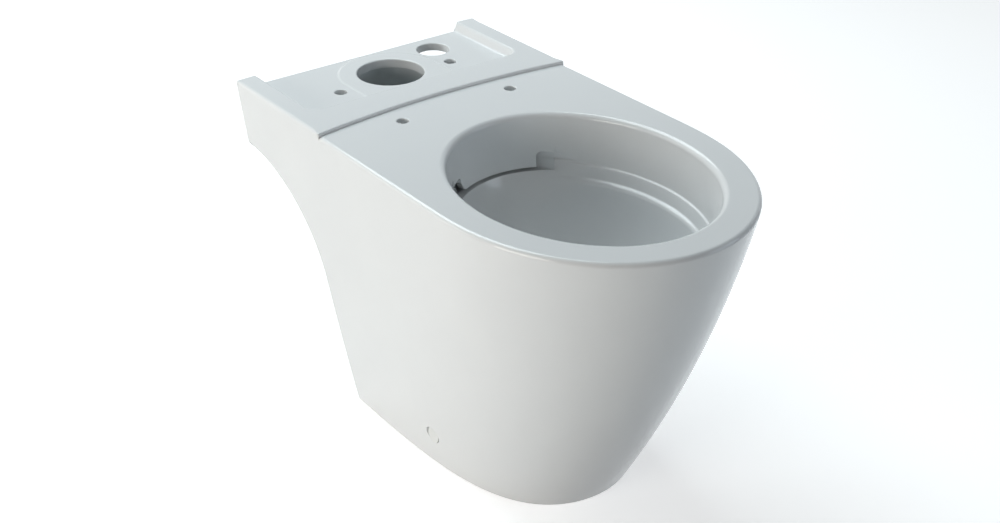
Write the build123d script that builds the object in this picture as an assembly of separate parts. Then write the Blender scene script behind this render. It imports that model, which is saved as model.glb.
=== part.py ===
from build123d import *
import math
import os

# A close-coupled toilet pan in vitreous china, with its hidden side-fixing set.
# Millimetres. X runs across, -Y is the front, +Y is the wall side, +Z is up.
# The origin is on the floor, under the middle of the pan's overall box.

# Overall size
pan_length = 640.0
pan_width = 355.0
deck_height = 400.0
shelf_rise = 4.0
china_wall = 12.0

# Outer walls: how far they run in from the brow to the floor
foot_width = 252.2
foot_setback = 150.0
foot_rear_setback = 156.5
straight_lean_share = 0.75
straight_setback_share = 0.56

# Outline of the rounded nose, at the brow and at the foot
brow_nose_length = 242.0
foot_nose_length = 292.7
brow_side_share = 0.48
foot_side_share = 0.348
brow_tip_share = -0.46
foot_tip_share = 0.046
wall_section_shares = (0.0, 0.2, 0.4, 0.6, 0.8, 1.0)
nose_steps = 12
halving_count = 40

# Rear edge of the side walls: nearly upright from the foot, then swept back under the shelf
heel_lean = 24.0
sweep_radius = 142.0
shelf_side_depth = 86.0

# Deck round the bowl
deck_thickness = 12.0
deck_round = 5.0
mouth_round = 6.0
seat_hole_spacing = 155.0
seat_hole_diameter = 14.0
seat_hole_setback = 213.0

# Bowl: upper wall, flush ledge and basin
mouth_side_margin = 43.0
mouth_front_margin = 40.0
mouth_rear_setback = 276.0
bowl_wall = 10.0
upper_wall_draft = 4.0
ledge_top_depth = 60.0
ledge_run = 9.0
ledge_fall = 16.0
sump_height = 125.0
sump_setback = 85.0
sump_half_length = 55.0
sump_half_width = 41.0
basin_sections = 6
basin_rear_power_share = 1.3
basin_side_power_share = 0.8

# Cistern shelf
shelf_thickness = 10.0
shelf_front_setback = 179.0
shelf_arc_radius = 1094.0
shelf_lip_round = 5.0
landing_depth = 12.0
landing_front_setback = 128.0
landing_side_margin = 30.4
landing_corner_round = 12.0
landing_toe_round = 3.0
landing_slope = 18.0
pad_rise = 1.2
pad_radius = 64.0
step_round = 1.5
flush_hole_diameter = 84.0
flush_hole_setback = 70.0
bolt_hole_spacing = 162.0
bolt_hole_diameter = 15.0
bolt_hole_setback = 84.0
pipe_hole_diameter = 42.0
pipe_hole_x = 87.0
pipe_hole_setback = 37.0

# Flush channel and apron
channel_wall = 8.0
channel_fall = 6.0
channel_step = 4.0
channel_margin = 5.0
window_width = 144.0
channel_flare_setback = 211.0
apron_width = 108.0
apron_thickness = 8.0
apron_lip_depth = 66.0
notch_top_depth = 47.0

# Trap: bore, wall and the corners of its centre line, as setback from the wall side and height.
# The crest stands above the outlet by its own rise.
trap_bore = 76.0
trap_wall = 9.0
trap_bend_radius = 50.0
trap_start_setback = 444.0
trap_start_height = 158.0
trap_dip_setback = 338.5
trap_dip_height = 48.0
trap_crest_setback = 253.5
trap_crest_rise = 65.0
outlet_setback = 123.5
outlet_height = 180.0
outlet_run = 61.0

# Outlet spigot
spigot_diameter = 102.0
spigot_bore = 84.0
spigot_length = 40.0
spigot_cone_length = 12.0

# Side-fixing set: bracket, bush, screw and cap
fixing_height = 50.0
fixing_setback = 334.0
fixing_hole_diameter = 12.6
cap_recess_diameter = 22.0
cap_recess_depth = 7.0
bush_flange_diameter = 17.6
bush_flange_thickness = 1.6
bush_sleeve_diameter = 12.0
bush_bore_diameter = 6.4
bush_reach = 3.0
screw_diameter = 6.0
screw_head_diameter = 12.0
screw_head_height = 3.0
screw_length = 46.0
screw_drive_width = 4.0
screw_drive_depth = 2.0
screw_drive_blade = 1.0
cap_diameter = 21.0
cap_shell = 1.4
bracket_width = 46.0
bracket_length = 56.0
bracket_base = 6.0
bracket_upright = 14.0
bracket_boss_diameter = 24.0
bracket_height = 78.0
bracket_gap = 1.0
screw_fit = 0.1
bracket_rib = 5.0
bracket_hole_diameter = 6.6
bracket_hole_spacing = 36.0
bracket_hole_inset = 12.0
bracket_round = 3.0
bracket_shoulder_round = 18.0

# Running allowances
seat_clearance = 0.3
overrun = 5.0

# Values worked out from the sizes above
half_length = pan_length / 2
half_width = pan_width / 2
pan_top = deck_height + shelf_rise
side_lean = (half_width - foot_width / 2) * straight_lean_share / pan_top
front_lean = foot_setback * straight_setback_share / pan_top


def round_gain(radius, lean):
    """How far a rounded edge stays inside the sharp corner of a wall that leans by this slope."""
    angle = math.atan(lean)
    return radius * (1 + math.sin(angle)) / math.cos(angle) - radius


brow_half_width = half_width + round_gain(shelf_lip_round, side_lean)
front_tip_y = -half_length - round_gain(deck_round, front_lean) - front_lean * shelf_rise
mouth_width = pan_width - mouth_side_margin * 2
mouth_length = pan_length - mouth_front_margin - mouth_rear_setback
mouth_rear_y = half_length - mouth_rear_setback
mouth_centre_y = mouth_rear_y - mouth_length / 2
foot_rear_y = half_length - foot_rear_setback
ledge_top_z = deck_height - ledge_top_depth
ledge_bottom_z = ledge_top_z - ledge_fall
landing_z = pan_top - landing_depth
shelf_bottom_z = landing_z - shelf_thickness
deck_bottom_z = deck_height - deck_thickness
shelf_side_z = pan_top - shelf_side_depth
flush_y = half_length - flush_hole_setback
outlet_y = half_length - outlet_setback
fixing_y = half_length - fixing_setback
trap_diameter = trap_bore + trap_wall * 2


def fall_share(z):
    """Share of the way down from the top of the pan to the floor."""
    return (pan_top - z) / pan_top


def blend(share, start, end):
    """A value part of the way from one to another."""
    return start + (end - start) * share


# Outer form

def wall_half_width(z, inset=0.0):
    """Half the width over the outer walls at a height."""
    fall = fall_share(z)
    run = straight_lean_share * fall + (1 - straight_lean_share) * fall * fall
    return blend(run, brow_half_width, foot_width / 2) - inset


def nose_tip(z, inset=0.0):
    """The foremost Y of the outer wall at a height."""
    fall = fall_share(z)
    run = straight_setback_share * fall + (1 - straight_setback_share) * fall * fall
    return front_tip_y + foot_setback * run + inset


def nose_point(angle, z, inset=0.0):
    """A point on the nose outline: an ellipse made fuller or leaner by two shares."""
    fall = fall_share(z)
    across = wall_half_width(z, inset)
    along = blend(fall, brow_nose_length, foot_nose_length) - inset
    side_share = blend(fall, brow_side_share, foot_side_share)
    tip_share = blend(fall, brow_tip_share, foot_tip_share)
    sine = math.sin(angle)
    cosine = math.cos(angle)
    x = across * sine * (1 + side_share * cosine * cosine)
    y = nose_tip(z, inset) + along - along * cosine * (1 + tip_share * sine * sine)
    return Vector(x, y, z)


def wall_x_at(y, z):
    """Half-width of the outer wall at a place, found by halving the nose angle."""
    low = 0.0
    high = math.pi / 2
    for _ in range(halving_count):
        middle = (low + high) / 2
        if nose_point(middle, z).Y < y:
            low = middle
        else:
            high = middle
    return nose_point(high, z).X


def wall_section(z, inset=0.0, extra=0.0):
    """The pan's plan outline at a height: rounded nose, straight sides, square back."""
    angles = [math.pi / 2 * (step / nose_steps) for step in range(-nose_steps, nose_steps + 1)]
    points = [nose_point(angle, z, inset) for angle in angles]
    left = points[0]
    right = points[-1]
    nose = Spline(points, tangents=(Vector(0, -1, 0), Vector(0, 1, 0)))
    rear_left = Vector(left.X, half_length + extra, z)
    rear_right = Vector(right.X, half_length + extra, z)
    sides = [Line(right, rear_right), Line(rear_right, rear_left), Line(rear_left, left)]
    return Face(Wire([nose] + sides))


def wall_solid(inset=0.0, extra=0.0):
    """The whole outer form as a solid block, drawn in by an inset and run out by an extra."""
    low_z = -extra
    high_z = pan_top + extra
    heights = [blend(share, low_z, high_z) for share in wall_section_shares]
    return loft([wall_section(z, inset, extra) for z in heights])


def slab(low_z, high_z):
    """A slab between two heights, wider than the pan."""
    return Pos(0, 0, (low_z + high_z) / 2) * Box(pan_width * 2, pan_length * 2, high_z - low_z)


def shelf_side():
    """Everything behind the arc where the deck steps up to the shelf."""
    arc_y = half_length - shelf_front_setback - shelf_arc_radius
    disc = Pos(0, arc_y, 0) * Cylinder(shelf_arc_radius, pan_top * 4)
    return Pos(0, half_length, 0) * Box(pan_width * 2, pan_length * 2, pan_top * 3) - disc


def rear_cut():
    """What the swept rear edge takes away from the outer form."""
    lean_y = foot_rear_y + heel_lean
    drop_y = foot_rear_y - heel_lean * overrun / shelf_side_z
    behind_y = half_length + overrun
    swept_edge = FilletPolyline(
        (drop_y, -overrun), (lean_y, shelf_side_z), (behind_y, shelf_side_z), radius=sweep_radius)
    back = Polyline((behind_y, shelf_side_z), (behind_y, -overrun), (drop_y, -overrun))
    profile = make_face(swept_edge.edges() + back.edges())
    return extrude(Plane.YZ * profile, amount=pan_width, both=True)


def x_bar(diameter, low_x, high_x):
    """A round bar along X at the side-fixing place."""
    bar = Rot(0, 90, 0) * Cylinder(diameter / 2, high_x - low_x)
    return Pos((low_x + high_x) / 2, fixing_y, fixing_height) * bar


def y_cone(low_diameter, high_diameter, low_y, high_y):
    """A round bar or cone along Y at the outlet's height."""
    low = Plane(origin=(0, low_y, outlet_height), z_dir=(0, 1, 0)) * Circle(low_diameter / 2)
    high = Plane(origin=(0, high_y, outlet_height), z_dir=(0, 1, 0)) * Circle(high_diameter / 2)
    return loft([low, high], ruled=True)


def bore(diameter, x, y):
    """An upright bore through the top of the pan."""
    return Pos(x, y, 0) * Cylinder(diameter / 2, pan_top * 4)


def bore_pair(diameter, spacing, setback):
    """Two upright bores, one on each side of the middle."""
    y = half_length - setback
    return bore(diameter, -spacing / 2, y) + bore(diameter, spacing / 2, y)


outer_form = wall_solid()
behind_step = shelf_side()
deck_blank = (outer_form & slab(deck_bottom_z, deck_height)) - behind_step
shelf_blank = (outer_form & slab(shelf_bottom_z, pan_top)) & behind_step

# Side-fixing places, worked out on the +X side
fixing_wall_x = wall_x_at(fixing_y, fixing_height)
recess_floor_x = fixing_wall_x - cap_recess_depth
inner_wall_x = fixing_wall_x - china_wall
flange_x = recess_floor_x + bush_flange_thickness
head_x = flange_x + screw_head_height
bush_end_x = inner_wall_x - bush_reach


# Bowl and trap forms, each with an extra all round for its wall

def mouth_oval(inset, z):
    """The mouth's ellipse drawn in by an inset, at a height."""
    return Pos(0, mouth_centre_y, z) * Ellipse(mouth_width / 2 - inset, mouth_length / 2 - inset)


def upper_wall_core(extra=0.0, low_z=ledge_top_z):
    """The oval well under the mouth, tapered by its draft."""
    depth = (deck_bottom_z - low_z) / (deck_bottom_z - ledge_top_z)
    low = mouth_oval(upper_wall_draft * depth - extra, low_z)
    return loft([low, mouth_oval(-extra, deck_bottom_z)], ruled=True)


def ledge_core(extra=0.0):
    """The short slope of the flush guide ledge."""
    top = mouth_oval(upper_wall_draft - extra, ledge_top_z)
    low = mouth_oval(upper_wall_draft + ledge_run - extra, ledge_bottom_z)
    return loft([low, top], ruled=True)


def basin_core(extra=0.0):
    """The basin below the ledge, from the ledge's oval down to the top of the sump."""
    top_half_width = mouth_width / 2 - upper_wall_draft - ledge_run
    top_half_length = mouth_length / 2 - upper_wall_draft - ledge_run
    sump_y = mouth_rear_y - sump_setback - sump_half_length
    top_front = sump_y - mouth_centre_y + top_half_length
    top_rear = mouth_centre_y + top_half_length - sump_y
    sections = []
    for step in range(basin_sections):
        share = step / (basin_sections - 1)
        front = blend(math.sin(math.pi / 2 * share), sump_half_length, top_front)
        rear = blend(share ** basin_rear_power_share, sump_half_length, top_rear)
        side = blend(share ** basin_side_power_share, sump_half_width, top_half_width)
        oval = Ellipse(side + extra, (front + rear) / 2 + extra)
        z = blend(share, sump_height, ledge_bottom_z)
        sections.append(Pos(0, sump_y + (rear - front) / 2, z) * oval)
    return loft(sections)


def trap_line():
    """Centre line of the trap: down into the dip, up over the weir and out level."""
    corners = [
        (0, half_length - trap_start_setback, trap_start_height),
        (0, half_length - trap_dip_setback, trap_dip_height),
        (0, half_length - trap_crest_setback, outlet_height + trap_crest_rise),
        (0, outlet_y - outlet_run, outlet_height),
        (0, outlet_y - spigot_length, outlet_height),
    ]
    return FilletPolyline(*corners, radius=trap_bend_radius)


def trap_bar(diameter):
    """A round bar swept along the trap's centre line."""
    line = trap_line()
    start = Plane(origin=line @ 0, z_dir=line % 0)
    return sweep(start * Circle(diameter / 2), path=line)


def channel_plan(extra=0.0):
    """Plan of the flush channel: round at the flush hole, straight, then flared to the bowl."""
    side = flush_hole_diameter / 2 + channel_margin + extra
    front = window_width / 2 + extra
    flare_y = half_length - channel_flare_setback
    outline = Polygon(
        (side, flush_y), (-side, flush_y), (-side, flare_y), (-front, mouth_rear_y + bowl_wall),
        (-front, mouth_centre_y), (front, mouth_centre_y), (front, mouth_rear_y + bowl_wall),
        (side, flare_y), align=None)
    return outline + Pos(0, flush_y) * Circle(side)


def channel_core(extra=0.0):
    """Space of the flush channel, with a floor that falls towards the bowl."""
    front_z = ledge_bottom_z + channel_step - extra
    rear_z = front_z + channel_fall
    profile = Polygon(
        (mouth_centre_y, front_z), (half_length, rear_z),
        (half_length, deck_bottom_z), (mouth_centre_y, deck_bottom_z), align=None)
    side_view = extrude(Plane.YZ * profile, amount=pan_width, both=True)
    return extrude(channel_plan(extra), amount=pan_top) & side_view


bowl_block = upper_wall_core(bowl_wall) + ledge_core(bowl_wall) + basin_core(bowl_wall)
bowl_space = upper_wall_core() + ledge_core() + basin_core()
trap_space = trap_bar(trap_bore)
channel_space = channel_core()


# Castings of the pan

def make_body_shroud():
    """Outer walls and front down to the foot, with the two side-fixing places."""
    shell = outer_form - wall_solid(china_wall, overrun) - rear_cut()
    shell = shell - deck_blank - shelf_blank - slab(deck_height, pan_top + overrun)
    hole = x_bar(fixing_hole_diameter, 0, half_width)
    cuts = hole + x_bar(cap_recess_diameter, recess_floor_x, half_width)
    return shell - cuts - mirror(cuts, about=Plane.YZ)


def make_bowl_deck():
    """Deck ring with the bowl's mouth and the seat-hinge holes."""
    mouth = extrude(Ellipse(mouth_width / 2, mouth_length / 2), amount=pan_top * 2)
    deck = deck_blank - Pos(0, mouth_centre_y, 0) * mouth
    deck = deck - bore_pair(seat_hole_diameter, seat_hole_spacing, seat_hole_setback)
    brow = deck.faces().sort_by(Axis.Z)[-1].outer_wire().edges()
    step_edge = brow.sort_by(Axis.Y)[-1]
    deck = fillet([edge for edge in brow if edge != step_edge], deck_round)
    mouth_edge = max(deck.faces().sort_by(Axis.Z)[-1].inner_wires(), key=lambda wire: wire.length)
    return fillet(mouth_edge.edges(), mouth_round)


def make_cistern_shelf():
    """Raised shelf with its lips, landing, pad and holes."""
    front_y = half_length - landing_front_setback
    rear_y = half_length + landing_depth
    floor_plan = Rectangle(pan_width - landing_side_margin * 2, rear_y - front_y)
    floor_plan = Pos(0, (front_y + rear_y) / 2, landing_z) * floor_plan
    floor_plan = fillet(floor_plan.vertices().group_by(Axis.Y)[0], landing_corner_round)
    landing = extrude(floor_plan, amount=landing_depth, taper=-landing_slope)
    toe_edges = landing.edges().group_by(Axis.Z)[0].sort_by(Axis.Y)[:-1]
    landing = fillet(toe_edges, landing_toe_round)
    pad_plan = Rectangle(pad_radius * 2, flush_y - front_y)
    pad_plan = Pos(0, (front_y + flush_y) / 2) * pad_plan + Pos(0, flush_y) * Circle(pad_radius)
    pad = Pos(0, 0, landing_z) * extrude(pad_plan, amount=pad_rise)
    shelf = shelf_blank - landing + (pad & outer_form)
    lip_edges = [
        edge for edge in shelf.edges().group_by(Axis.Z)[-1]
        if abs(edge.center().X) > half_width - shelf_lip_round
    ]
    shelf = fillet(lip_edges, shelf_lip_round)
    step_edges = shelf.edges().group_by(Axis.Z)[-1].filter_by(GeomType.CIRCLE)
    shelf = fillet(step_edges, step_round)
    shelf = shelf - bore_pair(bolt_hole_diameter, bolt_hole_spacing, bolt_hole_setback)
    shelf = shelf - bore(flush_hole_diameter, 0, flush_y)
    return shelf - bore(pipe_hole_diameter, pipe_hole_x, half_length - pipe_hole_setback)


def make_bowl():
    """Upper wall, flush ledge and basin, open to the trap and to the flush channel."""
    return bowl_block - bowl_space - trap_space - channel_space


def make_flush_apron():
    """The part of the upper wall that hangs in front of the channel, between two notches."""
    lip_z = deck_height - apron_lip_depth
    ring = upper_wall_core(apron_thickness, lip_z) - upper_wall_core(0.0, lip_z)
    window = Pos(0, mouth_centre_y + pan_length / 2, 0) * Box(window_width, pan_length, pan_top * 2)
    apron = ring & window
    notch_width = (window_width - apron_width) / 2
    notch_x = (window_width - notch_width) / 2
    notch_z = deck_height - notch_top_depth - pan_top / 2
    for side in (-1, 1):
        apron = apron - Pos(side * notch_x, 0, notch_z) * Box(notch_width, pan_length, pan_top)
    return apron


def make_flush_channel():
    """Trough under the shelf and deck that leads the flush from its hole to the bowl."""
    return channel_core(channel_wall) - channel_space - bowl_block - shelf_blank - deck_blank


def make_trapway():
    """The water-seal bend and the rise over the weir."""
    return trap_bar(trap_diameter) - trap_space - bowl_block


def make_outlet_spigot():
    """Level outlet that a pan connector pushes over, widened by a short cone."""
    start_y = outlet_y - spigot_length
    neck_y = start_y + spigot_cone_length
    spigot = y_cone(trap_diameter, spigot_diameter, start_y, neck_y)
    spigot = spigot + y_cone(spigot_diameter, spigot_diameter, neck_y, outlet_y)
    spigot = spigot - y_cone(trap_bore, spigot_bore, start_y, neck_y)
    return spigot - y_cone(spigot_bore, spigot_bore, neck_y, outlet_y)


# Side-fixing set on the +X side

def make_fixing_bush():
    """Flanged sleeve that lines the hole in the china."""
    sleeve = x_bar(bush_sleeve_diameter, bush_end_x, recess_floor_x)
    bush = sleeve + x_bar(bush_flange_diameter, recess_floor_x, flange_x)
    return bush - x_bar(bush_bore_diameter, 0, half_width)


def make_side_screw():
    """Pan-head screw through the bush into the bracket, with a crossed drive."""
    screw = x_bar(screw_diameter, flange_x - screw_length, flange_x)
    screw = screw + x_bar(screw_head_diameter, flange_x, head_x)
    slot = Box(screw_drive_depth * 2, screw_drive_width, screw_drive_blade)
    for turn in (0, 90):
        screw = screw - Pos(head_x, fixing_y, fixing_height) * Rot(turn, 0, 0) * slot
    return screw


def make_cover_cap():
    """Cup-shaped cap over the screw head, seated in the wall's recess."""
    ceiling_x = head_x + seat_clearance
    top_x = ceiling_x + cap_shell
    cap = x_bar(cap_diameter, recess_floor_x + seat_clearance, top_x)
    rim = cap.edges().filter_by(GeomType.CIRCLE).group_by(Axis.X)[-1]
    cap = fillet(rim, cap_shell / 2)
    return cap - x_bar(cap_diameter - cap_shell * 2, 0, ceiling_x)


def make_floor_bracket():
    """Moulded angle bracket: a foot with two screw holes, an upright, two ribs and a boss."""
    front_y = fixing_y - bracket_length / 2
    face_x = wall_x_at(front_y, 0) - china_wall - bracket_gap
    inner_x = face_x - bracket_width
    foot = Pos((face_x + inner_x) / 2, fixing_y, bracket_base / 2) * Box(
        bracket_width, bracket_length, bracket_base)
    foot = fillet(foot.edges().filter_by(Axis.Z), bracket_round)
    for side in (-1, 1):
        y = fixing_y + side * bracket_hole_spacing / 2
        foot = foot - bore(bracket_hole_diameter, inner_x + bracket_hole_inset, y)
    upright = Pos(face_x - bracket_upright / 2, fixing_y, bracket_height / 2) * Box(
        bracket_upright, bracket_length, bracket_height)
    upright = fillet(upright.edges().filter_by(Axis.X).group_by(Axis.Z)[-1], bracket_shoulder_round)
    boss = x_bar(bracket_boss_diameter, face_x, bush_end_x - seat_clearance)
    rib_profile = Polygon(
        (inner_x + bracket_hole_inset * 2, bracket_base), (face_x - bracket_upright, bracket_base),
        (face_x - bracket_upright, fixing_height), align=None)
    rib = extrude(Plane.XZ * rib_profile, amount=bracket_rib / 2, both=True)
    bracket = foot + upright + boss
    for side in (-1, 1):
        bracket = bracket + Pos(0, fixing_y + side * (bracket_length - bracket_rib) / 2, 0) * rib
    return bracket - x_bar(screw_diameter + screw_fit, 0, half_width)


nodes = {
    "body_shroud": make_body_shroud(),
    "bowl_deck": make_bowl_deck(),
    "cistern_shelf": make_cistern_shelf(),
    "bowl": make_bowl(),
    "flush_apron": make_flush_apron(),
    "flush_channel": make_flush_channel(),
    "trapway": make_trapway(),
    "outlet_spigot": make_outlet_spigot(),
}
fixing_set = {
    "floor_bracket": make_floor_bracket(),
    "fixing_bush": make_fixing_bush(),
    "side_screw": make_side_screw(),
    "cover_cap": make_cover_cap(),
}
for name, piece in fixing_set.items():
    nodes[name + "_right"] = piece
    nodes[name + "_left"] = mirror(piece, about=Plane.YZ)

os.makedirs("parts", exist_ok=True)
for name, shape in nodes.items():
    export_step(shape, "parts/" + name + ".step")
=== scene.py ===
import logging
import math
from dataclasses import dataclass, field
from enum import Enum
from typing import Callable, Optional, Sequence

import bmesh
import bpy
import numpy as np
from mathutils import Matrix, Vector
from mathutils.geometry import delaunay_2d_cdt


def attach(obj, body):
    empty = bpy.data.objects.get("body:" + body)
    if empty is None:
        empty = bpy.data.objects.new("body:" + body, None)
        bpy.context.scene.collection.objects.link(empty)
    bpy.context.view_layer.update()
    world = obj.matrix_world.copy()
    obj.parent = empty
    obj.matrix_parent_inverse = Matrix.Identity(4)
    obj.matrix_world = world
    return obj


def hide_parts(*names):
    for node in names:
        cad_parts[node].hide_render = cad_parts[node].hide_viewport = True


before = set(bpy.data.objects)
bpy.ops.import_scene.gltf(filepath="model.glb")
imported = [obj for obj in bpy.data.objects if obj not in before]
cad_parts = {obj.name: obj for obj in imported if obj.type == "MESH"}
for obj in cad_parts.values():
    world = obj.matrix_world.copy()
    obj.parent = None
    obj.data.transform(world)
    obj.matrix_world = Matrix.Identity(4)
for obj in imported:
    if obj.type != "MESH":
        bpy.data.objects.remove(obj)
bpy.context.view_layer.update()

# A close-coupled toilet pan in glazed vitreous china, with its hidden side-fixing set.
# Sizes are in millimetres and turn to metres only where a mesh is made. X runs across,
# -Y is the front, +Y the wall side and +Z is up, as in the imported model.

LOG = logging.getLogger("toilet_pan")
Array = np.ndarray
METRES = 0.001
# Distance in metres within which points are welded to one.
WELD = 2e-6
# Blender's output type that fills only the inside of the loops, and the fill's tolerance.
INSIDE_LOOPS = 1
FILL_TOLERANCE = 1e-6
# Neighbours in a loop that are closer than this are one point, and so are such angles.
SAME_POINT = 1e-4
SAME_ANGLE = 1e-6
# Steps of the central differences that give normals, of a surface and of a height or width.
NUDGE = 1e-4
SLOPE_NUDGE = 1e-3
# Halvings that find an angle on the nose to its last digit.
HALVINGS = 48
ACROSS = np.array([1.0, 0.0, 0.0])
TO_WALL = np.array([0.0, 1.0, 0.0])
UP = np.array([0.0, 0.0, 1.0])
# Factors that mirror a point or a normal in the middle plane.
FLIP = np.array([-1.0, 1.0, 1.0])


# Small vector and blending helpers

def unit(vectors: Array) -> Array:
    """Vectors divided by their own lengths."""
    return vectors / np.linalg.norm(vectors, axis=-1, keepdims=True)


def blend(share: Array, start: Array, end: Array) -> Array:
    """Values part of the way from start to end."""
    return start + (end - start) * share


def smooth(share: Array) -> Array:
    """A share held between 0 and 1 and eased at both ends: 3 s2 - 2 s3."""
    share = np.clip(share, 0.0, 1.0)
    return share ** 2 * (3 - 2 * share)


def circle(angle: Array) -> Array:
    """Points of the unit circle: (cos a, sin a)."""
    return np.stack([np.cos(angle), np.sin(angle)], axis=-1)


def places_of(x: Array, y: Array, z: Array) -> Array:
    """Points from coordinates, which are spread to the same shape."""
    return np.stack(np.broadcast_arrays(x, y, z), axis=-1)


def in_middle(pairs: Array) -> Array:
    """Points or directions in the middle plane, from their Y and Z."""
    return np.insert(pairs, 0, 0.0, axis=-1)


def stepped(start: float, *runs: tuple[float, int]) -> Array:
    """Even steps from a start through a series of stops.

    Args:
        start: The first value.
        runs: The last value and the number of steps of each run.

    Returns:
        The values, with each stop once.
    """
    values = [np.array([start])]
    for stop, count in runs:
        values.append(np.linspace(values[-1][-1], stop, count + 1)[1:])
    return np.concatenate(values)


def turned(first: Array, second: Array, shares: Array) -> Array:
    """Directions on the great arc between two sets of unit vectors.

    Each is (sin((1 - t) A) first + sin(t A) second) / sin A, where A is their angle.

    Args:
        first: Unit vectors, one per row.
        second: Unit vectors, one per row.
        shares: How far along the arc each result lies, from 0 to 1.

    Returns:
        An array with one row of vectors for each share.
    """
    angle = np.arccos(np.clip((first * second).sum(-1), -1.0, 1.0))[None, :, None]
    share = shares[:, None, None]
    return (np.sin((1 - share) * angle) * first + np.sin(share * angle) * second) / np.sin(angle)


def soft_min(first: Array, second: Array | float, width: float) -> Array:
    """The lesser of two values, with a parabola of this width where they cross."""
    share = np.clip(0.5 + 0.5 * (second - first) / width, 0.0, 1.0)
    return blend(share, second, first) - width * share * (1 - share)


def soft_max(first: Array, second: Array | float, width: float) -> Array:
    """The greater of two values, with a parabola of this width where they cross."""
    return -soft_min(-first, -second, width)


# Sheets and skins

class Facing(Enum):
    """Which way a surface looks, from the middle of its piece."""

    OUT = 1.0
    IN = -1.0


@dataclass
class Sheet:
    """A grid of points on a surface, with the surface's own normal at each point."""

    points: Array
    normals: Array
    keep: Optional[Array] = None

    def mirrored(self) -> "Sheet":
        """The same sheet on the other side of the middle plane."""
        return Sheet(self.points * FLIP, self.normals * FLIP, self.keep)

    def transposed(self) -> "Sheet":
        """The same sheet with its rows and columns exchanged."""
        return Sheet(self.points.swapaxes(0, 1), self.normals.swapaxes(0, 1))

    def backwards(self) -> "Sheet":
        """The same sheet with its columns in the other order."""
        return Sheet(self.points[:, ::-1], self.normals[:, ::-1])

    def row(self, index: int) -> "Sheet":
        """One row of the sheet."""
        return Sheet(self.points[index], self.normals[index])

    def without(self, rows: slice, columns: Array | slice) -> "Sheet":
        """The same sheet with a window in it.

        Args:
            rows: Rows of the cells that are left out.
            columns: Columns of those cells, as a slice or a mask.

        Returns:
            The sheet.
        """
        keep = np.ones((self.points.shape[0] - 1, self.points.shape[1] - 1), dtype=bool)
        keep[rows, columns] = False
        return Sheet(self.points, self.normals, keep)


def ball_round(edge: Array, first: Array, second: Array, radius: Array, steps: int) -> Sheet:
    """The round that a ball leaves as it rolls along the edge between two faces.

    The ball's centre lies off the edge by radius (n0 + n1) / (1 + n0.n1), and each point
    lies a radius from that centre, along a direction turned from n0 to n1.

    Args:
        edge: Points of the sharp edge.
        first: Normals n0 of the first face along the edge.
        second: Normals n1 of the second face along the edge.
        radius: Radius of the ball, one for all or one per point of the edge.
        steps: Number of strips across the round.

    Returns:
        A sheet whose first row lies on the first face and last row on the second.
    """
    dot = (first * second).sum(-1, keepdims=True)
    centre = edge - radius * (first + second) / (1 + dot)
    normals = turned(first, second, np.linspace(0.0, 1.0, steps + 1))
    return Sheet(centre + radius * normals, normals)


def surface_sheet(surface: Callable[[Array, Array], Array], across: Array, along: Array,
                  facing: Facing = Facing.OUT) -> Sheet:
    """Points and normals of a surface given by two parameters.

    The normal is the cross product of the two central differences of the surface.

    Args:
        surface: Gives points from two arrays of parameters.
        across: First parameter, one value per column.
        along: Second parameter, one value per row.
        facing: OUT to keep the cross product's way, IN to turn it round.

    Returns:
        The sheet, with a row for each value of along.
    """
    u, v = np.broadcast_arrays(across[None, :], along[:, None])
    du = surface(u + NUDGE, v) - surface(u - NUDGE, v)
    dv = surface(u, v + NUDGE) - surface(u, v - NUDGE)
    return Sheet(surface(u, v), facing.value * unit(np.cross(du, dv)))


def ruled(first: Array, second: Array, normals: Array, steps: int = 1) -> Sheet:
    """Straight strips between two rows of points: p = p0 + (p1 - p0) t.

    Args:
        first: Points of the first row.
        second: Points of the last row.
        normals: One normal for all, or one for each column.
        steps: Number of strips.

    Returns:
        The sheet.
    """
    shares = np.linspace(0.0, 1.0, steps + 1)[:, None, None]
    points = blend(shares, first[None], second[None])
    return Sheet(points, np.broadcast_to(normals, points.shape))


def stacked(*sheets: Sheet) -> Sheet:
    """The rows of several sheets with the same columns, as one sheet.

    Args:
        sheets: The sheets, or single rows of them.

    Returns:
        The sheet.
    """
    columns = sheets[0].points.shape[-2]
    points = [sheet.points.reshape(-1, columns, 3) for sheet in sheets]
    normals = [sheet.normals.reshape(-1, columns, 3) for sheet in sheets]
    return Sheet(np.concatenate(points), np.concatenate(normals))


def joined(*runs: Array) -> Array:
    """Several runs of points as one loop.

    Args:
        runs: Runs of points, end to end.

    Returns:
        The loop, without points that repeat their neighbour.
    """
    points = np.concatenate(runs)
    step = np.linalg.norm(points - np.roll(points, 1, axis=0), axis=-1)
    return points[step > SAME_POINT]


def inside_loops(points: Array, loops: Sequence[Array]) -> Array:
    """Tells which plan points lie between loops: a ray from them crosses an odd number of edges.

    Args:
        points: Plan points.
        loops: Closed loops of points.

    Returns:
        True for each point that lies between them.
    """
    count = np.zeros(len(points), dtype=int)
    x, y = points[:, None, 0], points[:, None, 1]
    for loop in loops:
        start, end = loop[None, :, :2], np.roll(loop, -1, axis=0)[None, :, :2]
        over = (start[..., 1] > y) != (end[..., 1] > y)
        rise = np.where(over, end[..., 1] - start[..., 1], 1.0)
        reach = start[..., 0] + (y - start[..., 1]) * (end[..., 0] - start[..., 0]) / rise
        count += (over & (x < reach)).sum(axis=1)
    return count % 2 == 1


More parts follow.
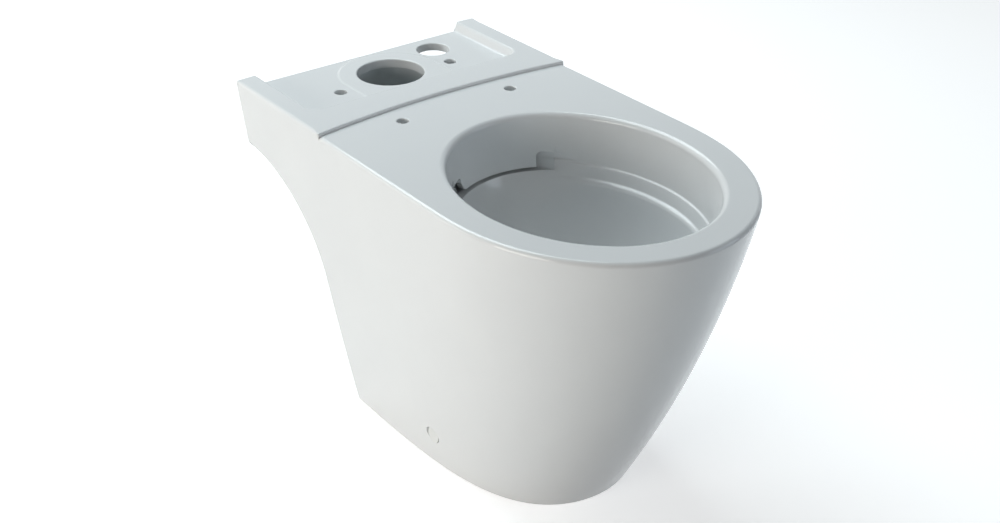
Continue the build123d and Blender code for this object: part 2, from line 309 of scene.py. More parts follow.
def fill_between(loops: Sequence[Array], inner: Optional[Array] = None) -> Array:
    """Triangles of the plan area between closed loops.

    Args:
        loops: Closed loops of points, the outermost first. Only X and Y are read.
        inner: Further plan points inside the area.

    Returns:
        Triangles as indices into the loops' points followed by the inner points.
    """
    plans = [loop[:, :2] for loop in loops] + ([] if inner is None else [inner[:, :2]])
    flat = np.concatenate(plans)
    edges, start = [], 0
    for loop in loops:
        index = np.arange(len(loop))
        edges += (start + np.stack([index, np.roll(index, -1)], axis=-1)).tolist()
        start += len(loop)
    made = delaunay_2d_cdt([Vector(p) for p in flat.tolist()], edges, [], INSIDE_LOOPS, FILL_TOLERANCE)
    source = np.array([ids[0] for ids in made[3]])
    triangles = source[np.array(made[2])]
    if len(loops) > 1:
        triangles = triangles[~inside_loops(flat[triangles].mean(axis=1), loops[1:])]
    return triangles


class Skin:
    """Collects the sheets and areas of one casting and welds them to one closed mesh."""

    def __init__(self, name: str) -> None:
        """Starts an empty skin.

        Args:
            name: Name of the piece.
        """
        self.name = name
        self.points: list[Array] = []
        self.normals: list[Array] = []
        self.quads: list[Array] = []
        self.triangles: list[Array] = []
        self.count = 0

    def _store(self, points: Array, normals: Array) -> int:
        """Keeps points with their normals.

        Args:
            points: The points, in an array of any shape that ends in 3.
            normals: Their normals.

        Returns:
            Index of the first point.
        """
        start = self.count
        self.points.append(points.reshape(-1, 3))
        self.normals.append(normals.reshape(-1, 3))
        self.count += len(self.points[-1])
        return start

    def add(self, *sheets: Sheet) -> None:
        """Adds sheets, a quad for each cell that is kept.

        Args:
            sheets: The sheets.
        """
        for sheet in sheets:
            rows, columns = sheet.points.shape[:2]
            start = self._store(sheet.points, sheet.normals)
            index = start + np.arange(rows * columns).reshape(rows, columns)
            cells = np.stack([index[:-1, :-1], index[:-1, 1:], index[1:, 1:], index[1:, :-1]], axis=-1)
            self.quads.append(cells.reshape(-1, 4) if sheet.keep is None else cells[sheet.keep])

    def add_both(self, *sheets: Sheet) -> None:
        """Adds sheets of the right half, each with its mirror image."""
        for sheet in sheets:
            self.add(sheet, sheet.mirrored())

    def add_area(self, loops: Sequence[Array], normals: Array, inner: Optional[Array] = None) -> None:
        """Adds the area between closed loops, through inner points where it isn't flat.

        Args:
            loops: Closed loops of points, the outermost first.
            normals: One for all, or those of the loops' points and then of the inner ones.
            inner: Points inside the area.
        """
        points = np.concatenate([*loops] if inner is None else [*loops, inner])
        start = self._store(points, np.broadcast_to(normals, points.shape))
        self.triangles.append(start + fill_between(loops, inner))

    def add_fan(self, ring: Array, centre: Array, normal: Array) -> None:
        """Adds the triangles between a ring of points and its centre.

        Args:
            ring: The ring, without a repeated end.
            centre: The point in its middle.
            normal: The area's normal.
        """
        points, index = np.vstack([ring, centre]), np.arange(len(ring))
        start = self._store(points, np.broadcast_to(normal, points.shape))
        fan = np.stack([index, np.roll(index, -1), np.full_like(index, len(ring))], axis=-1)
        self.triangles.append(start + fan)

    def _facing(self, faces: Array, points: Array, normals: Array) -> Array:
        """Turns round the faces that look against the normals of their own points.

        Args:
            faces: Quads or triangles, as indices of their points.
            points: All points.
            normals: Their normals.

        Returns:
            The faces.
        """
        corners = points[faces]
        if faces.shape[1] == 4:
            look = np.cross(corners[:, 2] - corners[:, 0], corners[:, 3] - corners[:, 1])
        else:
            look = np.cross(corners[:, 1] - corners[:, 0], corners[:, 2] - corners[:, 0])
        against = (look * normals[faces].mean(axis=1)).sum(axis=-1) < 0
        return np.where(against[:, None], faces[:, ::-1], faces)

    def weld(self) -> bpy.types.Object:
        """Makes the object, merges what meets and gives it the surfaces' own normals.


        Returns:
            The new object, which rides on the pan.
        """
        points, normals = np.concatenate(self.points), np.concatenate(self.normals)
        faces: list[list[int]] = []
        for group in self.quads + self.triangles:
            faces += self._facing(group, points, normals).tolist()
        mesh = bpy.data.meshes.new(self.name)
        mesh.from_pydata((points * METRES).tolist(), [], faces)
        corner = np.concatenate([np.asarray(face) for face in faces])
        layer = mesh.attributes.new("own_normal", "FLOAT_VECTOR", "CORNER")
        layer.data.foreach_set("vector", normals[corner].astype(np.float32).ravel())
        welded = bmesh.new()
        welded.from_mesh(mesh)
        bmesh.ops.remove_doubles(welded, verts=welded.verts, dist=WELD)
        open_edges = sum(1 for edge in welded.edges if not edge.is_manifold)
        welded.to_mesh(mesh)
        welded.free()
        layer = mesh.attributes["own_normal"]
        kept = np.empty(len(layer.data) * 3, dtype=np.float32)
        layer.data.foreach_get("vector", kept)
        mesh.attributes.remove(layer)
        mesh.polygons.foreach_set("use_smooth", np.ones(len(mesh.polygons), dtype=bool))
        mesh.normals_split_custom_set(kept.reshape(-1, 3).tolist())
        mesh.update()
        piece = bpy.data.objects.new(self.name, mesh)
        bpy.context.scene.collection.objects.link(piece)
        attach(piece, "pan")
        LOG.info("%s: %d faces, %d open edges", self.name, len(mesh.polygons), open_edges)
        return piece


# Finishes

def linear(code: str) -> tuple[float, float, float, float]:
    """An sRGB hex colour as linear red, green, blue and alpha.

    Each part is c / 12.92 where it is dark, and otherwise ((c + 0.055) / 1.055) to the 2.4.

    Args:
        code: The colour, such as "#FFFFFF".

    Returns:
        The linear colour.
    """
    parts = [int(code[i:i + 2], 16) / 255 for i in (1, 3, 5)]
    values = [c / 12.92 if c <= 0.04045 else ((c + 0.055) / 1.055) ** 2.4 for c in parts]
    return (values[0], values[1], values[2], 1.0)


def empty_tree(owner: bpy.types.Material | bpy.types.World) -> bpy.types.NodeTree:
    """The node tree of a new material or world, emptied.

    Args:
        owner: The material or world.

    Returns:
        The tree.
    """
    owner.use_nodes = True
    owner.node_tree.nodes.clear()
    return owner.node_tree


def add_node(tree: bpy.types.NodeTree, kind: str, settings: Optional[dict] = None,
             inputs: Optional[dict] = None) -> bpy.types.Node:
    """Adds a node with its settings and its inputs, each a value or a socket to link.

    Args:
        tree: The material's node tree.
        kind: The node's type name.
        settings: Properties of the node.
        inputs: Values or output sockets by input name or number.

    Returns:
        The new node.
    """
    node = tree.nodes.new(kind)
    for name, value in (settings or {}).items():
        setattr(node, name, value)
    for name, value in (inputs or {}).items():
        if isinstance(value, bpy.types.NodeSocket):
            tree.links.new(value, node.inputs[name])
        else:
            node.inputs[name].default_value = value
    return node


@dataclass(frozen=True)
class Finish:
    """A finish: its colours, gloss and the two patterns that break it up."""

    name: str
    light: str
    dark: str
    roughness: float
    roughness_spread: float
    patch_mm: float
    grain_mm: float
    bump_mm: float
    # Blender's own value, which a metal and the thin glaze keep.
    ior: float = 1.5
    metallic: float = 0.0

    def make(self) -> bpy.types.Material:
        """Builds the material's nodes.

        Returns:
            The material, whose patterns read Object coordinates in real millimetres.
        """
        material = bpy.data.materials.new(self.name)
        tree = empty_tree(material)
        place = add_node(tree, "ShaderNodeTexCoord").outputs["Object"]
        patches = add_node(tree, "ShaderNodeTexNoise", None, {
            "Vector": place, "Scale": 1 / (self.patch_mm * METRES), "Detail": 3.0, "Roughness": 0.5})
        grain = add_node(tree, "ShaderNodeTexNoise", None, {
            "Vector": place, "Scale": 1 / (self.grain_mm * METRES), "Detail": 2.0, "Roughness": 0.55})
        colour = add_node(tree, "ShaderNodeMix", {"data_type": "RGBA"}, {
            "Factor": patches.outputs["Fac"], "A": linear(self.light), "B": linear(self.dark)})
        gloss = add_node(tree, "ShaderNodeMapRange", None, {
            "Value": patches.outputs["Fac"], "From Min": 0.3, "From Max": 0.7,
            "To Min": self.roughness - self.roughness_spread,
            "To Max": self.roughness + self.roughness_spread})
        relief = add_node(tree, "ShaderNodeBump", None, {
            "Strength": 1.0, "Distance": self.bump_mm * METRES, "Height": grain.outputs["Fac"]})
        shader = add_node(tree, "ShaderNodeBsdfPrincipled", None, {
            "Base Color": colour.outputs["Result"], "Roughness": gloss.outputs["Result"],
            "Metallic": self.metallic, "IOR": self.ior, "Normal": relief.outputs["Normal"]})
        add_node(tree, "ShaderNodeOutputMaterial", None, {"Surface": shader.outputs["BSDF"]})
        return material


# Vitreous china under an opaque white glaze, dipped and fired: a slow unevenness of the glaze
# bends reflections a little, and the body colour shows faintly through it in wide clouds.
GLAZED_CHINA = Finish(
    "glazed_vitreous_china", light="#E9EAEA", dark="#E4E5E6", roughness=0.16, roughness_spread=0.02,
    patch_mm=90.0, grain_mm=26.0, bump_mm=0.05, ior=1.52)
# The same body where the glaze only runs through: a thin wash, less smooth, and greyer partly as
# painted shade that darkens the flush channel's chamber under the flush hole.
THIN_GLAZE_WITH_PAINTED_SHADE = Finish(
    "thin_glaze_with_painted_shade", light="#CFD3D4", dark="#C5C9CA", roughness=0.34,
    roughness_spread=0.05, patch_mm=40.0, grain_mm=6.0, bump_mm=0.12)
# Glass-filled nylon, injection moulded: matt, off-white and finely pitted by the mould.
MOULDED_NYLON = Finish(
    "moulded_nylon", light="#D3D2CC", dark="#C6C5BE", roughness=0.52, roughness_spread=0.06,
    patch_mm=14.0, grain_mm=0.9, bump_mm=0.05, ior=1.53)
# Polypropylene, injection moulded: white, waxy and nearly smooth.
MOULDED_POLYPROPYLENE = Finish(
    "moulded_polypropylene", light="#DEDED9", dark="#D7D7D1", roughness=0.38, roughness_spread=0.04,
    patch_mm=9.0, grain_mm=1.4, bump_mm=0.02, ior=1.49)
# Zinc-plated steel, rolled thread and pressed head: bright grey with a soft satin.
ZINC_PLATED_STEEL = Finish(
    "zinc_plated_steel", light="#B9BABB", dark="#A6A8AB", roughness=0.30, roughness_spread=0.07,
    patch_mm=3.0, grain_mm=0.6, bump_mm=0.01, metallic=1.0)
# Gloss ABS, injection moulded in a polished tool: as white as the glaze, with a hard shine.
GLOSS_ABS = Finish(
    "gloss_abs", light="#E9EAE8", dark="#E5E6E4", roughness=0.18, roughness_spread=0.02,
    patch_mm=20.0, grain_mm=2.5, bump_mm=0.01, ior=1.54)


# Outer form of the pan

@dataclass(frozen=True)
class WallForm:
    """The leaning outer walls: an ellipse-like nose and straight sides at every height."""

    top: float = 404.0
    deck: float = 400.0
    seam: float = 382.0
    half_length: float = 320.0
    half_width: float = 177.5
    foot_half_width: float = 126.1
    foot_setback: float = 150.0
    # Shares of the lean of sides and tip that are straight, where the rest is a parabola.
    lean_share: float = 0.75
    setback_share: float = 0.56
    brow_nose: float = 242.0
    foot_nose: float = 292.7
    # How much fuller the nose is than an ellipse on its side and at its tip, at top and floor.
    side_shares: tuple[float, float] = (0.48, 0.348)
    tip_shares: tuple[float, float] = (-0.46, 0.046)
    deck_round: float = 5.0
    lip_round: float = 5.0
    wall: float = 12.0

    def _gain(self, radius: float, lean: float) -> float:
        """How far a rounded edge stays inside the sharp corner of a leaning wall."""
        angle = math.atan(lean)
        return radius * (1 + math.sin(angle)) / math.cos(angle) - radius

    @property
    def brow_half_width(self) -> float:
        """Half-width of the sharp corner at the top."""
        lean = (self.half_width - self.foot_half_width) * self.lean_share / self.top
        return self.half_width + self._gain(self.lip_round, lean)

    @property
    def tip_y(self) -> float:
        """Foremost Y of the sharp corner at the top."""
        lean = self.foot_setback * self.setback_share / self.top
        return -self.half_length - self._gain(self.deck_round, lean) - lean * (self.top - self.deck)

    def fall(self, z: Array) -> Array:
        """Share of the way down from the top to the floor."""
        return (self.top - z) / self.top

    def across(self, z: Array, inset: float = 0.0) -> Array:
        """Half-width at a height: a blend that is part straight and part a parabola.

        Args:
            z: Height.
            inset: How far the wall is drawn in.

        Returns:
            The half-width.
        """
        fall = self.fall(z)
        run = self.lean_share * fall + (1 - self.lean_share) * fall ** 2
        return blend(run, self.brow_half_width, self.foot_half_width) - inset

    def slope(self, z: Array) -> Array:
        """How fast the half-width grows with height, from a central difference."""
        return (self.across(z + SLOPE_NUDGE) - self.across(z - SLOPE_NUDGE)) / (2 * SLOPE_NUDGE)

    def nose(self, angle: Array, z: Array, inset: float = 0.0) -> Array:
        """A point on the nose: an ellipse made fuller or leaner by two shares.

        x = w sin a (1 + s cos2 a) and y = tip + l - l cos a (1 + t sin2 a).

        Args:
            angle: Angle round the nose, 0 at the tip and a right angle at the side.
            z: Height.
            inset: How far the surface is drawn in.

        Returns:
            The points.
        """
        fall = self.fall(z)
        width = self.across(z, inset)
        length = blend(fall, self.brow_nose, self.foot_nose) - inset
        side = blend(fall, *self.side_shares)
        tip = blend(fall, *self.tip_shares)
        run = self.setback_share * fall + (1 - self.setback_share) * fall ** 2
        sine, cosine = np.sin(angle), np.cos(angle)
        x = width * sine * (1 + side * cosine ** 2)
        front = self.tip_y + self.foot_setback * run + inset
        y = front + length - length * cosine * (1 + tip * sine ** 2)
        return places_of(x, y, z)

    def nose_sheet(self, angles: Array, heights: Array, inset: float = 0.0) -> Sheet:
        """The nose's surface, facing out, or in where it is drawn in."""
        facing = Facing.OUT if inset == 0 else Facing.IN
        return surface_sheet(lambda a, z: self.nose(a, z, inset), angles, heights, facing)

    def side_normal(self, z: Array) -> Array:
        """Normal of the straight right side at a height."""
        slope = self.slope(z)
        return unit(np.stack([np.ones_like(slope), np.zeros_like(slope), -slope], axis=-1))

    def side_point(self, y: Array, z: Array, inset: float = 0.0) -> Array:
        """A point of the straight right side."""
        return places_of(self.across(z, inset), y, z)

    def angle_at(self, y: Array, z: Array) -> Array:
        """Nose angle of the place with this Y and Z, found by halving.

        Args:
            y: Places along.
            z: Heights.

        Returns:
            The angles.
        """
        low, high = np.zeros_like(y), np.full_like(y, math.pi / 2)
        for _ in range(HALVINGS):
            middle = (low + high) / 2
            before = self.nose(middle, z)[..., 1] < y
            low, high = np.where(before, middle, low), np.where(before, high, middle)
        return high

    def nose_at(self, y: Array, z: Array) -> Sheet:
        """Points and normals of the right wall's nose at given places.

        Args:
            y: Places along.
            z: Heights.

        Returns:
            A sheet of one row.
        """
        angle = self.angle_at(y, z)
        da = self.nose(angle + NUDGE, z) - self.nose(angle - NUDGE, z)
        dz = self.nose(angle, z + NUDGE) - self.nose(angle, z - NUDGE)
        return Sheet(self.nose(angle, z), unit(np.cross(da, dz)))


WALL = WallForm()


@dataclass(frozen=True)
class StepArc:
    """The wide arc, seen from above, where the deck steps up to the shelf."""

    setback: float = 179.0
    radius: float = 1094.0

    @property
    def centre_y(self) -> float:
        """Y of the arc's centre, far in front of the pan."""
        return WALL.half_length - self.setback - self.radius

    def y_at(self, x: Array) -> Array:
        """Y of the arc at a distance from the middle."""
        return self.centre_y + np.sqrt(self.radius ** 2 - x ** 2)


STEP = StepArc()


# Castings

@dataclass
class BodyShroud:
    """Outer walls and front down to the foot, with the two side-fixing places."""

    foot_rear_y: float = 163.5
    heel_lean: float = 24.0
    sweep_radius: float = 142.0
    side_depth: float = 86.0
    rim_round: float = 3.4
    inner_round: float = 2.0
    foot_round: float = 1.8
    fixing_y: float = -14.0
    fixing_z: float = 50.0
    # Half the side of the patch of wall that holds the fixing's recess.
    window: float = 24.0
    recess_radius: float = 11.0
    recess_depth: float = 7.0
    recess_round: float = 0.8
    # Lowest row above the foot's round.
    first_z: float = 6.0
    # Steps of the rear edge: its leaning line, its sweep, its small corner and its upright.
    edge_steps: tuple[int, int, int, int] = (10, 24, 3, 8)
    # Cells below, in and above the fixing's window, and cells before, in and behind it.
    row_cells: tuple[int, int, int] = (3, 6, 36)
    column_cells: tuple[int, int, int] = (34, 6, 8)
    side_cells: int = 6
    # Where the wall between the window's frame and the recess has a ring of points.
    ring_shares: tuple[float, ...] = (0.25, 0.5, 0.75)
    # How far in towards its middle the recess's floor is a ring, before the last fan.
    hub_share: float = 0.97

    def rear_edge(self) -> tuple[Array, Array]:
        """Places and normals along the swept rear edge, from the foot up to the seam.

        A leaning line, then a quarter-like arc that sweeps back under the shelf, a small
        corner and an upright line.

        Returns:
            Points with X left at 0, and unit normals that look away from the wall.
        """
        line_steps, arc_steps, corner_steps, upright_steps = self.edge_steps
        side_z = WALL.top - self.side_depth
        turn = math.pi / 2 - math.atan(self.heel_lean / side_z)
        reach = self.sweep_radius * math.tan(turn / 2)
        run = math.hypot(self.heel_lean, side_z)
        line_z = np.linspace(self.first_z, side_z - reach * side_z / run, line_steps + 1)
        line = np.stack([self.foot_rear_y + self.heel_lean * line_z / side_z, line_z], axis=-1)
        away = np.array([side_z, -self.heel_lean]) / run
        centre = np.array([self.foot_rear_y + self.heel_lean + reach, side_z - self.sweep_radius])
        angle = np.linspace(math.pi / 2 + turn, math.pi / 2, arc_steps + 1)[1:]
        arc = centre + self.sweep_radius * circle(angle)
        look = circle(np.linspace(-math.pi / 2, 0, corner_steps + 1)[1:])
        middle = np.array([WALL.half_length - self.rim_round, side_z + self.rim_round])
        bend = middle + self.rim_round * look
        rise = np.linspace(side_z + self.rim_round, WALL.seam, upright_steps + 1)[1:]
        upright = np.stack([np.full_like(rise, WALL.half_length), rise], axis=-1)
        plan = np.concatenate([line, arc, bend, upright])
        looks = np.concatenate([np.tile(away, (len(line), 1)), (centre - arc) / self.sweep_radius,
                                look, np.tile([1.0, 0.0], (len(upright), 1))])
        return in_middle(plan), in_middle(looks)

    def row_heights(self) -> Array:
        """Heights of the nose's rows, two of them on the fixing's window.

        Returns:
            The heights, from just above the floor up to the seam.
        """
        below, inside, above = self.row_cells
        low, high = self.fixing_z - self.window, self.fixing_z + self.window
        return stepped(self.first_z, (low, below), (high, inside), (WALL.seam, above))

    def column_angles(self) -> Array:
        """Angles of the nose's columns, two of them on the fixing's window.

        Returns:
            The angles, from the tip to the straight side.
        """
        before, inside, behind = self.column_cells
        sides = np.array([self.fixing_y - self.window, self.fixing_y + self.window])
        low, high = WALL.angle_at(sides, np.full(2, self.fixing_z))
        return stepped(0.0, (low, before), (high, inside), (math.pi / 2, behind))

    def window_cells(self) -> tuple[slice, slice]:
        """Rows and columns of the cells in the fixing's window."""
        rows, columns = self.row_cells, self.column_cells
        return slice(rows[0], rows[0] + rows[1]), slice(columns[0], columns[0] + columns[1])

    def _side_panel(self, start: Array, end: Array, inset: float) -> Sheet:
        """Straight side between the nose and the rear edge.

        Args:
            start: Points on the nose's last column.
            end: Points on the rear edge's round.
            inset: How far the panel is drawn in, 0 for the outside.

        Returns:
            The sheet.
        """
        shares = np.linspace(0.0, 1.0, self.side_cells + 1)[None, :, None]
        plan = blend(shares, start[:, None], end[:, None])
        points = WALL.side_point(plan[..., 1], plan[..., 2], inset)
        points[:, 0], points[:, -1] = start, end
        normals = WALL.side_normal(plan[..., 2])
        return Sheet(points, normals if inset == 0 else -normals)

    def _foot(self, sheet: Sheet) -> list[Sheet]:
        """The rounded edge at the floor: the lowest cells are carried on down to Z = 0.

        Args:
            sheet: The sheet above it.

        Returns:
            A strip down from the sheet's lowest row, and the round.
        """
        low, next_up = sheet.points[0], sheet.points[1]
        share = low[:, 2:] / (next_up[:, 2:] - low[:, 2:])
        edge = low + (low - next_up) * share
        edge[:, 2] = 0.0
        down = np.broadcast_to(-UP, low.shape)
        rounded = ball_round(edge, sheet.normals[0], down, self.foot_round, steps=4)
        return [ruled(low, rounded.points[0], sheet.normals[0]), rounded]

    def _recess(self, skin: Skin, wall: Sheet) -> None:
        """Fills the window in the wall round the cap's recess, and makes the recess.

        The window's frame and the recess's circle have a point on each ray from the
        fixing's middle, and the rings between them lie on the nose at blended places.

        Args:
            skin: Where the surfaces go.
            wall: The nose's outside.
        """
        rows, columns = self.window_cells()
        window = wall.points[rows.start:rows.stop + 1, columns.start:columns.stop + 1]
        frame_loop = np.concatenate([
            window[0, :-1], window[:-1, -1], window[-1, :0:-1], window[::-1, 0]])
        aim = np.arctan2(frame_loop[:, 2] - self.fixing_z, frame_loop[:, 1] - self.fixing_y)
        out = in_middle(circle(aim))
        centre = np.array([0.0, self.fixing_y, self.fixing_z])
        floor = centre + self.recess_radius * out
        mouth = WALL.nose_at(floor[:, 1], floor[:, 2])
        rounded = ball_round(mouth.points, mouth.normals, -out, self.recess_round, steps=3)
        rings = [Sheet(frame_loop, WALL.nose_at(frame_loop[:, 1], frame_loop[:, 2]).normals)]
        for share in self.ring_shares:
            plan = blend(share, frame_loop, rounded.points[0])
            rings.append(WALL.nose_at(plan[:, 1], plan[:, 2]))
        skin.add_both(stacked(*rings, rounded.row(0)))
        centre[0] = WALL.nose_at(centre[1:2], centre[2:]).points[0, 0] - self.recess_depth
        floor[:, 0] = centre[0]
        hub = blend(self.hub_share, floor, centre)
        skin.add_both(rounded, ruled(rounded.points[-1], floor, -out), ruled(floor, hub, ACROSS))
        skin.add_fan(hub[:-1], centre, ACROSS)
        skin.add_fan(hub[:-1] * FLIP, centre * FLIP, ACROSS * FLIP)

    def build(self) -> bpy.types.Object:
        """Makes the walls as one closed shell.

        Returns:
            The welded piece.
        """
        skin = Skin("china_outer_walls")
        heights, angles = self.row_heights(), self.column_angles()
        outer, inner = WALL.nose_sheet(angles, heights), WALL.nose_sheet(angles, heights, WALL.wall)
        self._recess(skin, outer)
        edge, look = self.rear_edge()
        side = WALL.side_normal(edge[:, 2])
        outer_edge = WALL.side_point(edge[:, 1], edge[:, 2])
        inner_edge = WALL.side_point(edge[:, 1], edge[:, 2], WALL.wall)
        rim = ball_round(outer_edge, side, look, self.rim_round, steps=4)
        back = ball_round(inner_edge, look, -side, self.inner_round, steps=3)
        self._square_off(rim, back)
        panel = self._side_panel(outer.points[:, -1], rim.points[0], 0.0)
        lining = self._side_panel(inner.points[:, -1], back.points[-1], WALL.wall)
        edge_face = ruled(rim.points[-1], back.points[0], look)
        run = [outer.without(*self.window_cells()), panel, rim.transposed(), edge_face.transposed(),
               back.transposed(), lining.backwards(), inner.backwards()]
        skin.add_both(*run)
        sole = []
        for sheet in run:
            feet = self._foot(sheet)
            skin.add_both(*feet)
            sole.append(feet[-1].points[-1])
        for ring, face in ((joined(*sole), -UP), (joined(*[s.points[-1] for s in run]), UP)):
            skin.add_area([ring], face)
            skin.add_area([ring * FLIP], face)
        return skin.weld()

    def _square_off(self, rim: Sheet, back: Sheet) -> None:
        """Lays the topmost points of the two rounds in the level plane of the seam.

        Args:
            rim: The round between the outside and the rear edge.
            back: The round between the rear edge and the inside.
        """
        width, rear = WALL.across(WALL.seam), WALL.half_length
        angle = np.linspace(0, math.pi / 2, rim.points.shape[0])
        rim.points[:, -1, 0] = width - self.rim_round * (1 - np.cos(angle))
        rim.points[:, -1, 1] = rear - self.rim_round * (1 - np.sin(angle))
        angle = np.linspace(math.pi / 2, 0, back.points.shape[0])
        back.points[:, -1, 0] = width - WALL.wall + self.inner_round * (1 - np.cos(angle))
        back.points[:, -1, 1] = rear - self.inner_round * (1 - np.sin(angle))
        rim.points[:, -1, 2] = back.points[:, -1, 2] = WALL.seam


@dataclass(frozen=True)
class Hole:
    """An upright round hole with a softened rim."""

    x: float
    y: float
    radius: float
    rim: float
    count: int = 48

    def rings(self, top: float, bottom: float) -> tuple[Sheet, Sheet]:
        """The rounded rim and the bore.

        Args:
            top: Height of the face round the hole.
            bottom: Height of its lower end.

        Returns:
            The rim, from the face into the bore, and the bore down to its end.
        """
        angle = np.linspace(0, 2 * math.pi, self.count + 1)
        out = np.stack([np.cos(angle), np.sin(angle), np.zeros_like(angle)], axis=-1)
        edge = np.array([self.x, self.y, top]) + self.radius * out
        rim = ball_round(edge, np.broadcast_to(UP, edge.shape), -out, self.rim, steps=4)
        low = edge.copy()
        low[:, 2] = bottom
        return rim, ruled(rim.points[-1], low, -out)


@dataclass(frozen=True)
class MouthOval:
    """The bowl's oval: semi-axes, centre and the gentle draft of the wall under the mouth."""

    half_width: float = 134.5
    half_length: float = 162.0
    centre_y: float = -118.0
    draft: float = 4.0
    draft_top: float = 394.0
    draft_depth: float = 54.0
    draft_power: float = 1.5
    # Half-widths of the window and the apron, and of the oval at the height of both.
    window_half_width: float = 72.0
    apron_half_width: float = 54.0
    measured_half_width: float = 131.0

    def half_angle(self, half_width: float) -> float:
        """Half-angle off the rear of the oval of what is this wide on each side."""
        return math.asin(half_width / self.measured_half_width)

    def ring(self, angle: Array, z: Array, inset: Array) -> Array:
        """Points of the oval drawn in: x = (a - d) sin t, y = c - (b - d) cos t.

        Args:
            angle: Angle t round the oval, 0 at its front.
            z: Height.
            inset: How far d it is drawn in.

        Returns:
            The points.
        """
        x = (self.half_width - inset) * np.sin(angle)
        y = self.centre_y - (self.half_length - inset) * np.cos(angle)
        return places_of(x, y, z)

    def draw_in(self, z: Array) -> Array:
        """How far the upper wall is drawn in at a height: a power of the share of its depth."""
        depth = np.clip((self.draft_top - z) / self.draft_depth, 0.0, None)
        return self.draft * depth ** self.draft_power

    def upper(self, angle: Array, z: Array, extra: float = 0.0) -> Array:
        """Points of the upper wall, or of its back where there is an extra."""
        return self.ring(angle, z, self.draw_in(z) - extra)


OVAL = MouthOval()
# Half-angles, off the rear of the oval, of the window for the flush and of the hanging apron.
WINDOW_ANGLE = OVAL.half_angle(OVAL.window_half_width)
APRON_ANGLE = OVAL.half_angle(OVAL.apron_half_width)
# Angle over which the groove beside the window runs out.
GROOVE_SPAN = 0.22
# Cells from the front to the groove, along the groove, beside the apron and on half of it.
OVAL_CELLS = (50, 16, 12, 12)


def oval_angles() -> Array:
    """Angles round the oval from its front, with columns on the window and the apron.

    Returns:
        The angles, closed from 0 to a full turn.
    """
    window, apron = math.pi - WINDOW_ANGLE, math.pi - APRON_ANGLE
    half = stepped(0.0, *zip((window - GROOVE_SPAN, window, apron, math.pi), OVAL_CELLS))
    return np.concatenate([half, 2 * math.pi - half[::-1][1:]])


def share_past(angle: Array, start: float, span: float) -> Array:
    """Share of a span of angles, counted both ways off the rear from a half-angle on."""
    return np.clip((np.abs(angle - math.pi) - start) / span, 0.0, 1.0)


def cells_within(angle: Array, half_angle: float) -> Array:
    """Tells which columns of cells lie within a half-angle off the rear of the oval."""
    return np.abs((angle[:-1] + angle[1:]) / 2 - math.pi) < half_angle


def ends_of(cells: Array) -> tuple[int, int]:
    """The columns of points at both ends of a run of cells."""
    inside = np.flatnonzero(cells)
    return int(inside[0]), int(inside[-1]) + 1


def bowl_sheet(surface: Callable[[Array, Array], Array], angle: Array, heights: Array,
               facing: Facing = Facing.IN) -> Sheet:
    """A sheet of the bowl whose normals look at the bowl's middle, or away for its back.

    Each normal is turned by the sign of its product with the way from the row's middle.

    Args:
        surface: Gives points from angle and height.
        angle: Angles round the oval.
        heights: Heights of the rows.
        facing: IN for the inside of the bowl, OUT for its back.

    Returns:
        The sheet.
    """
    sheet = surface_sheet(surface, angle, heights)
    centre = sheet.points.mean(axis=1, keepdims=True)
    off = sheet.points - centre
    off[..., 2] = 0.0
    sign = np.sign((sheet.normals * off).sum(-1, keepdims=True))
    sheet.normals = sheet.normals * (facing.value * sign)
    return sheet


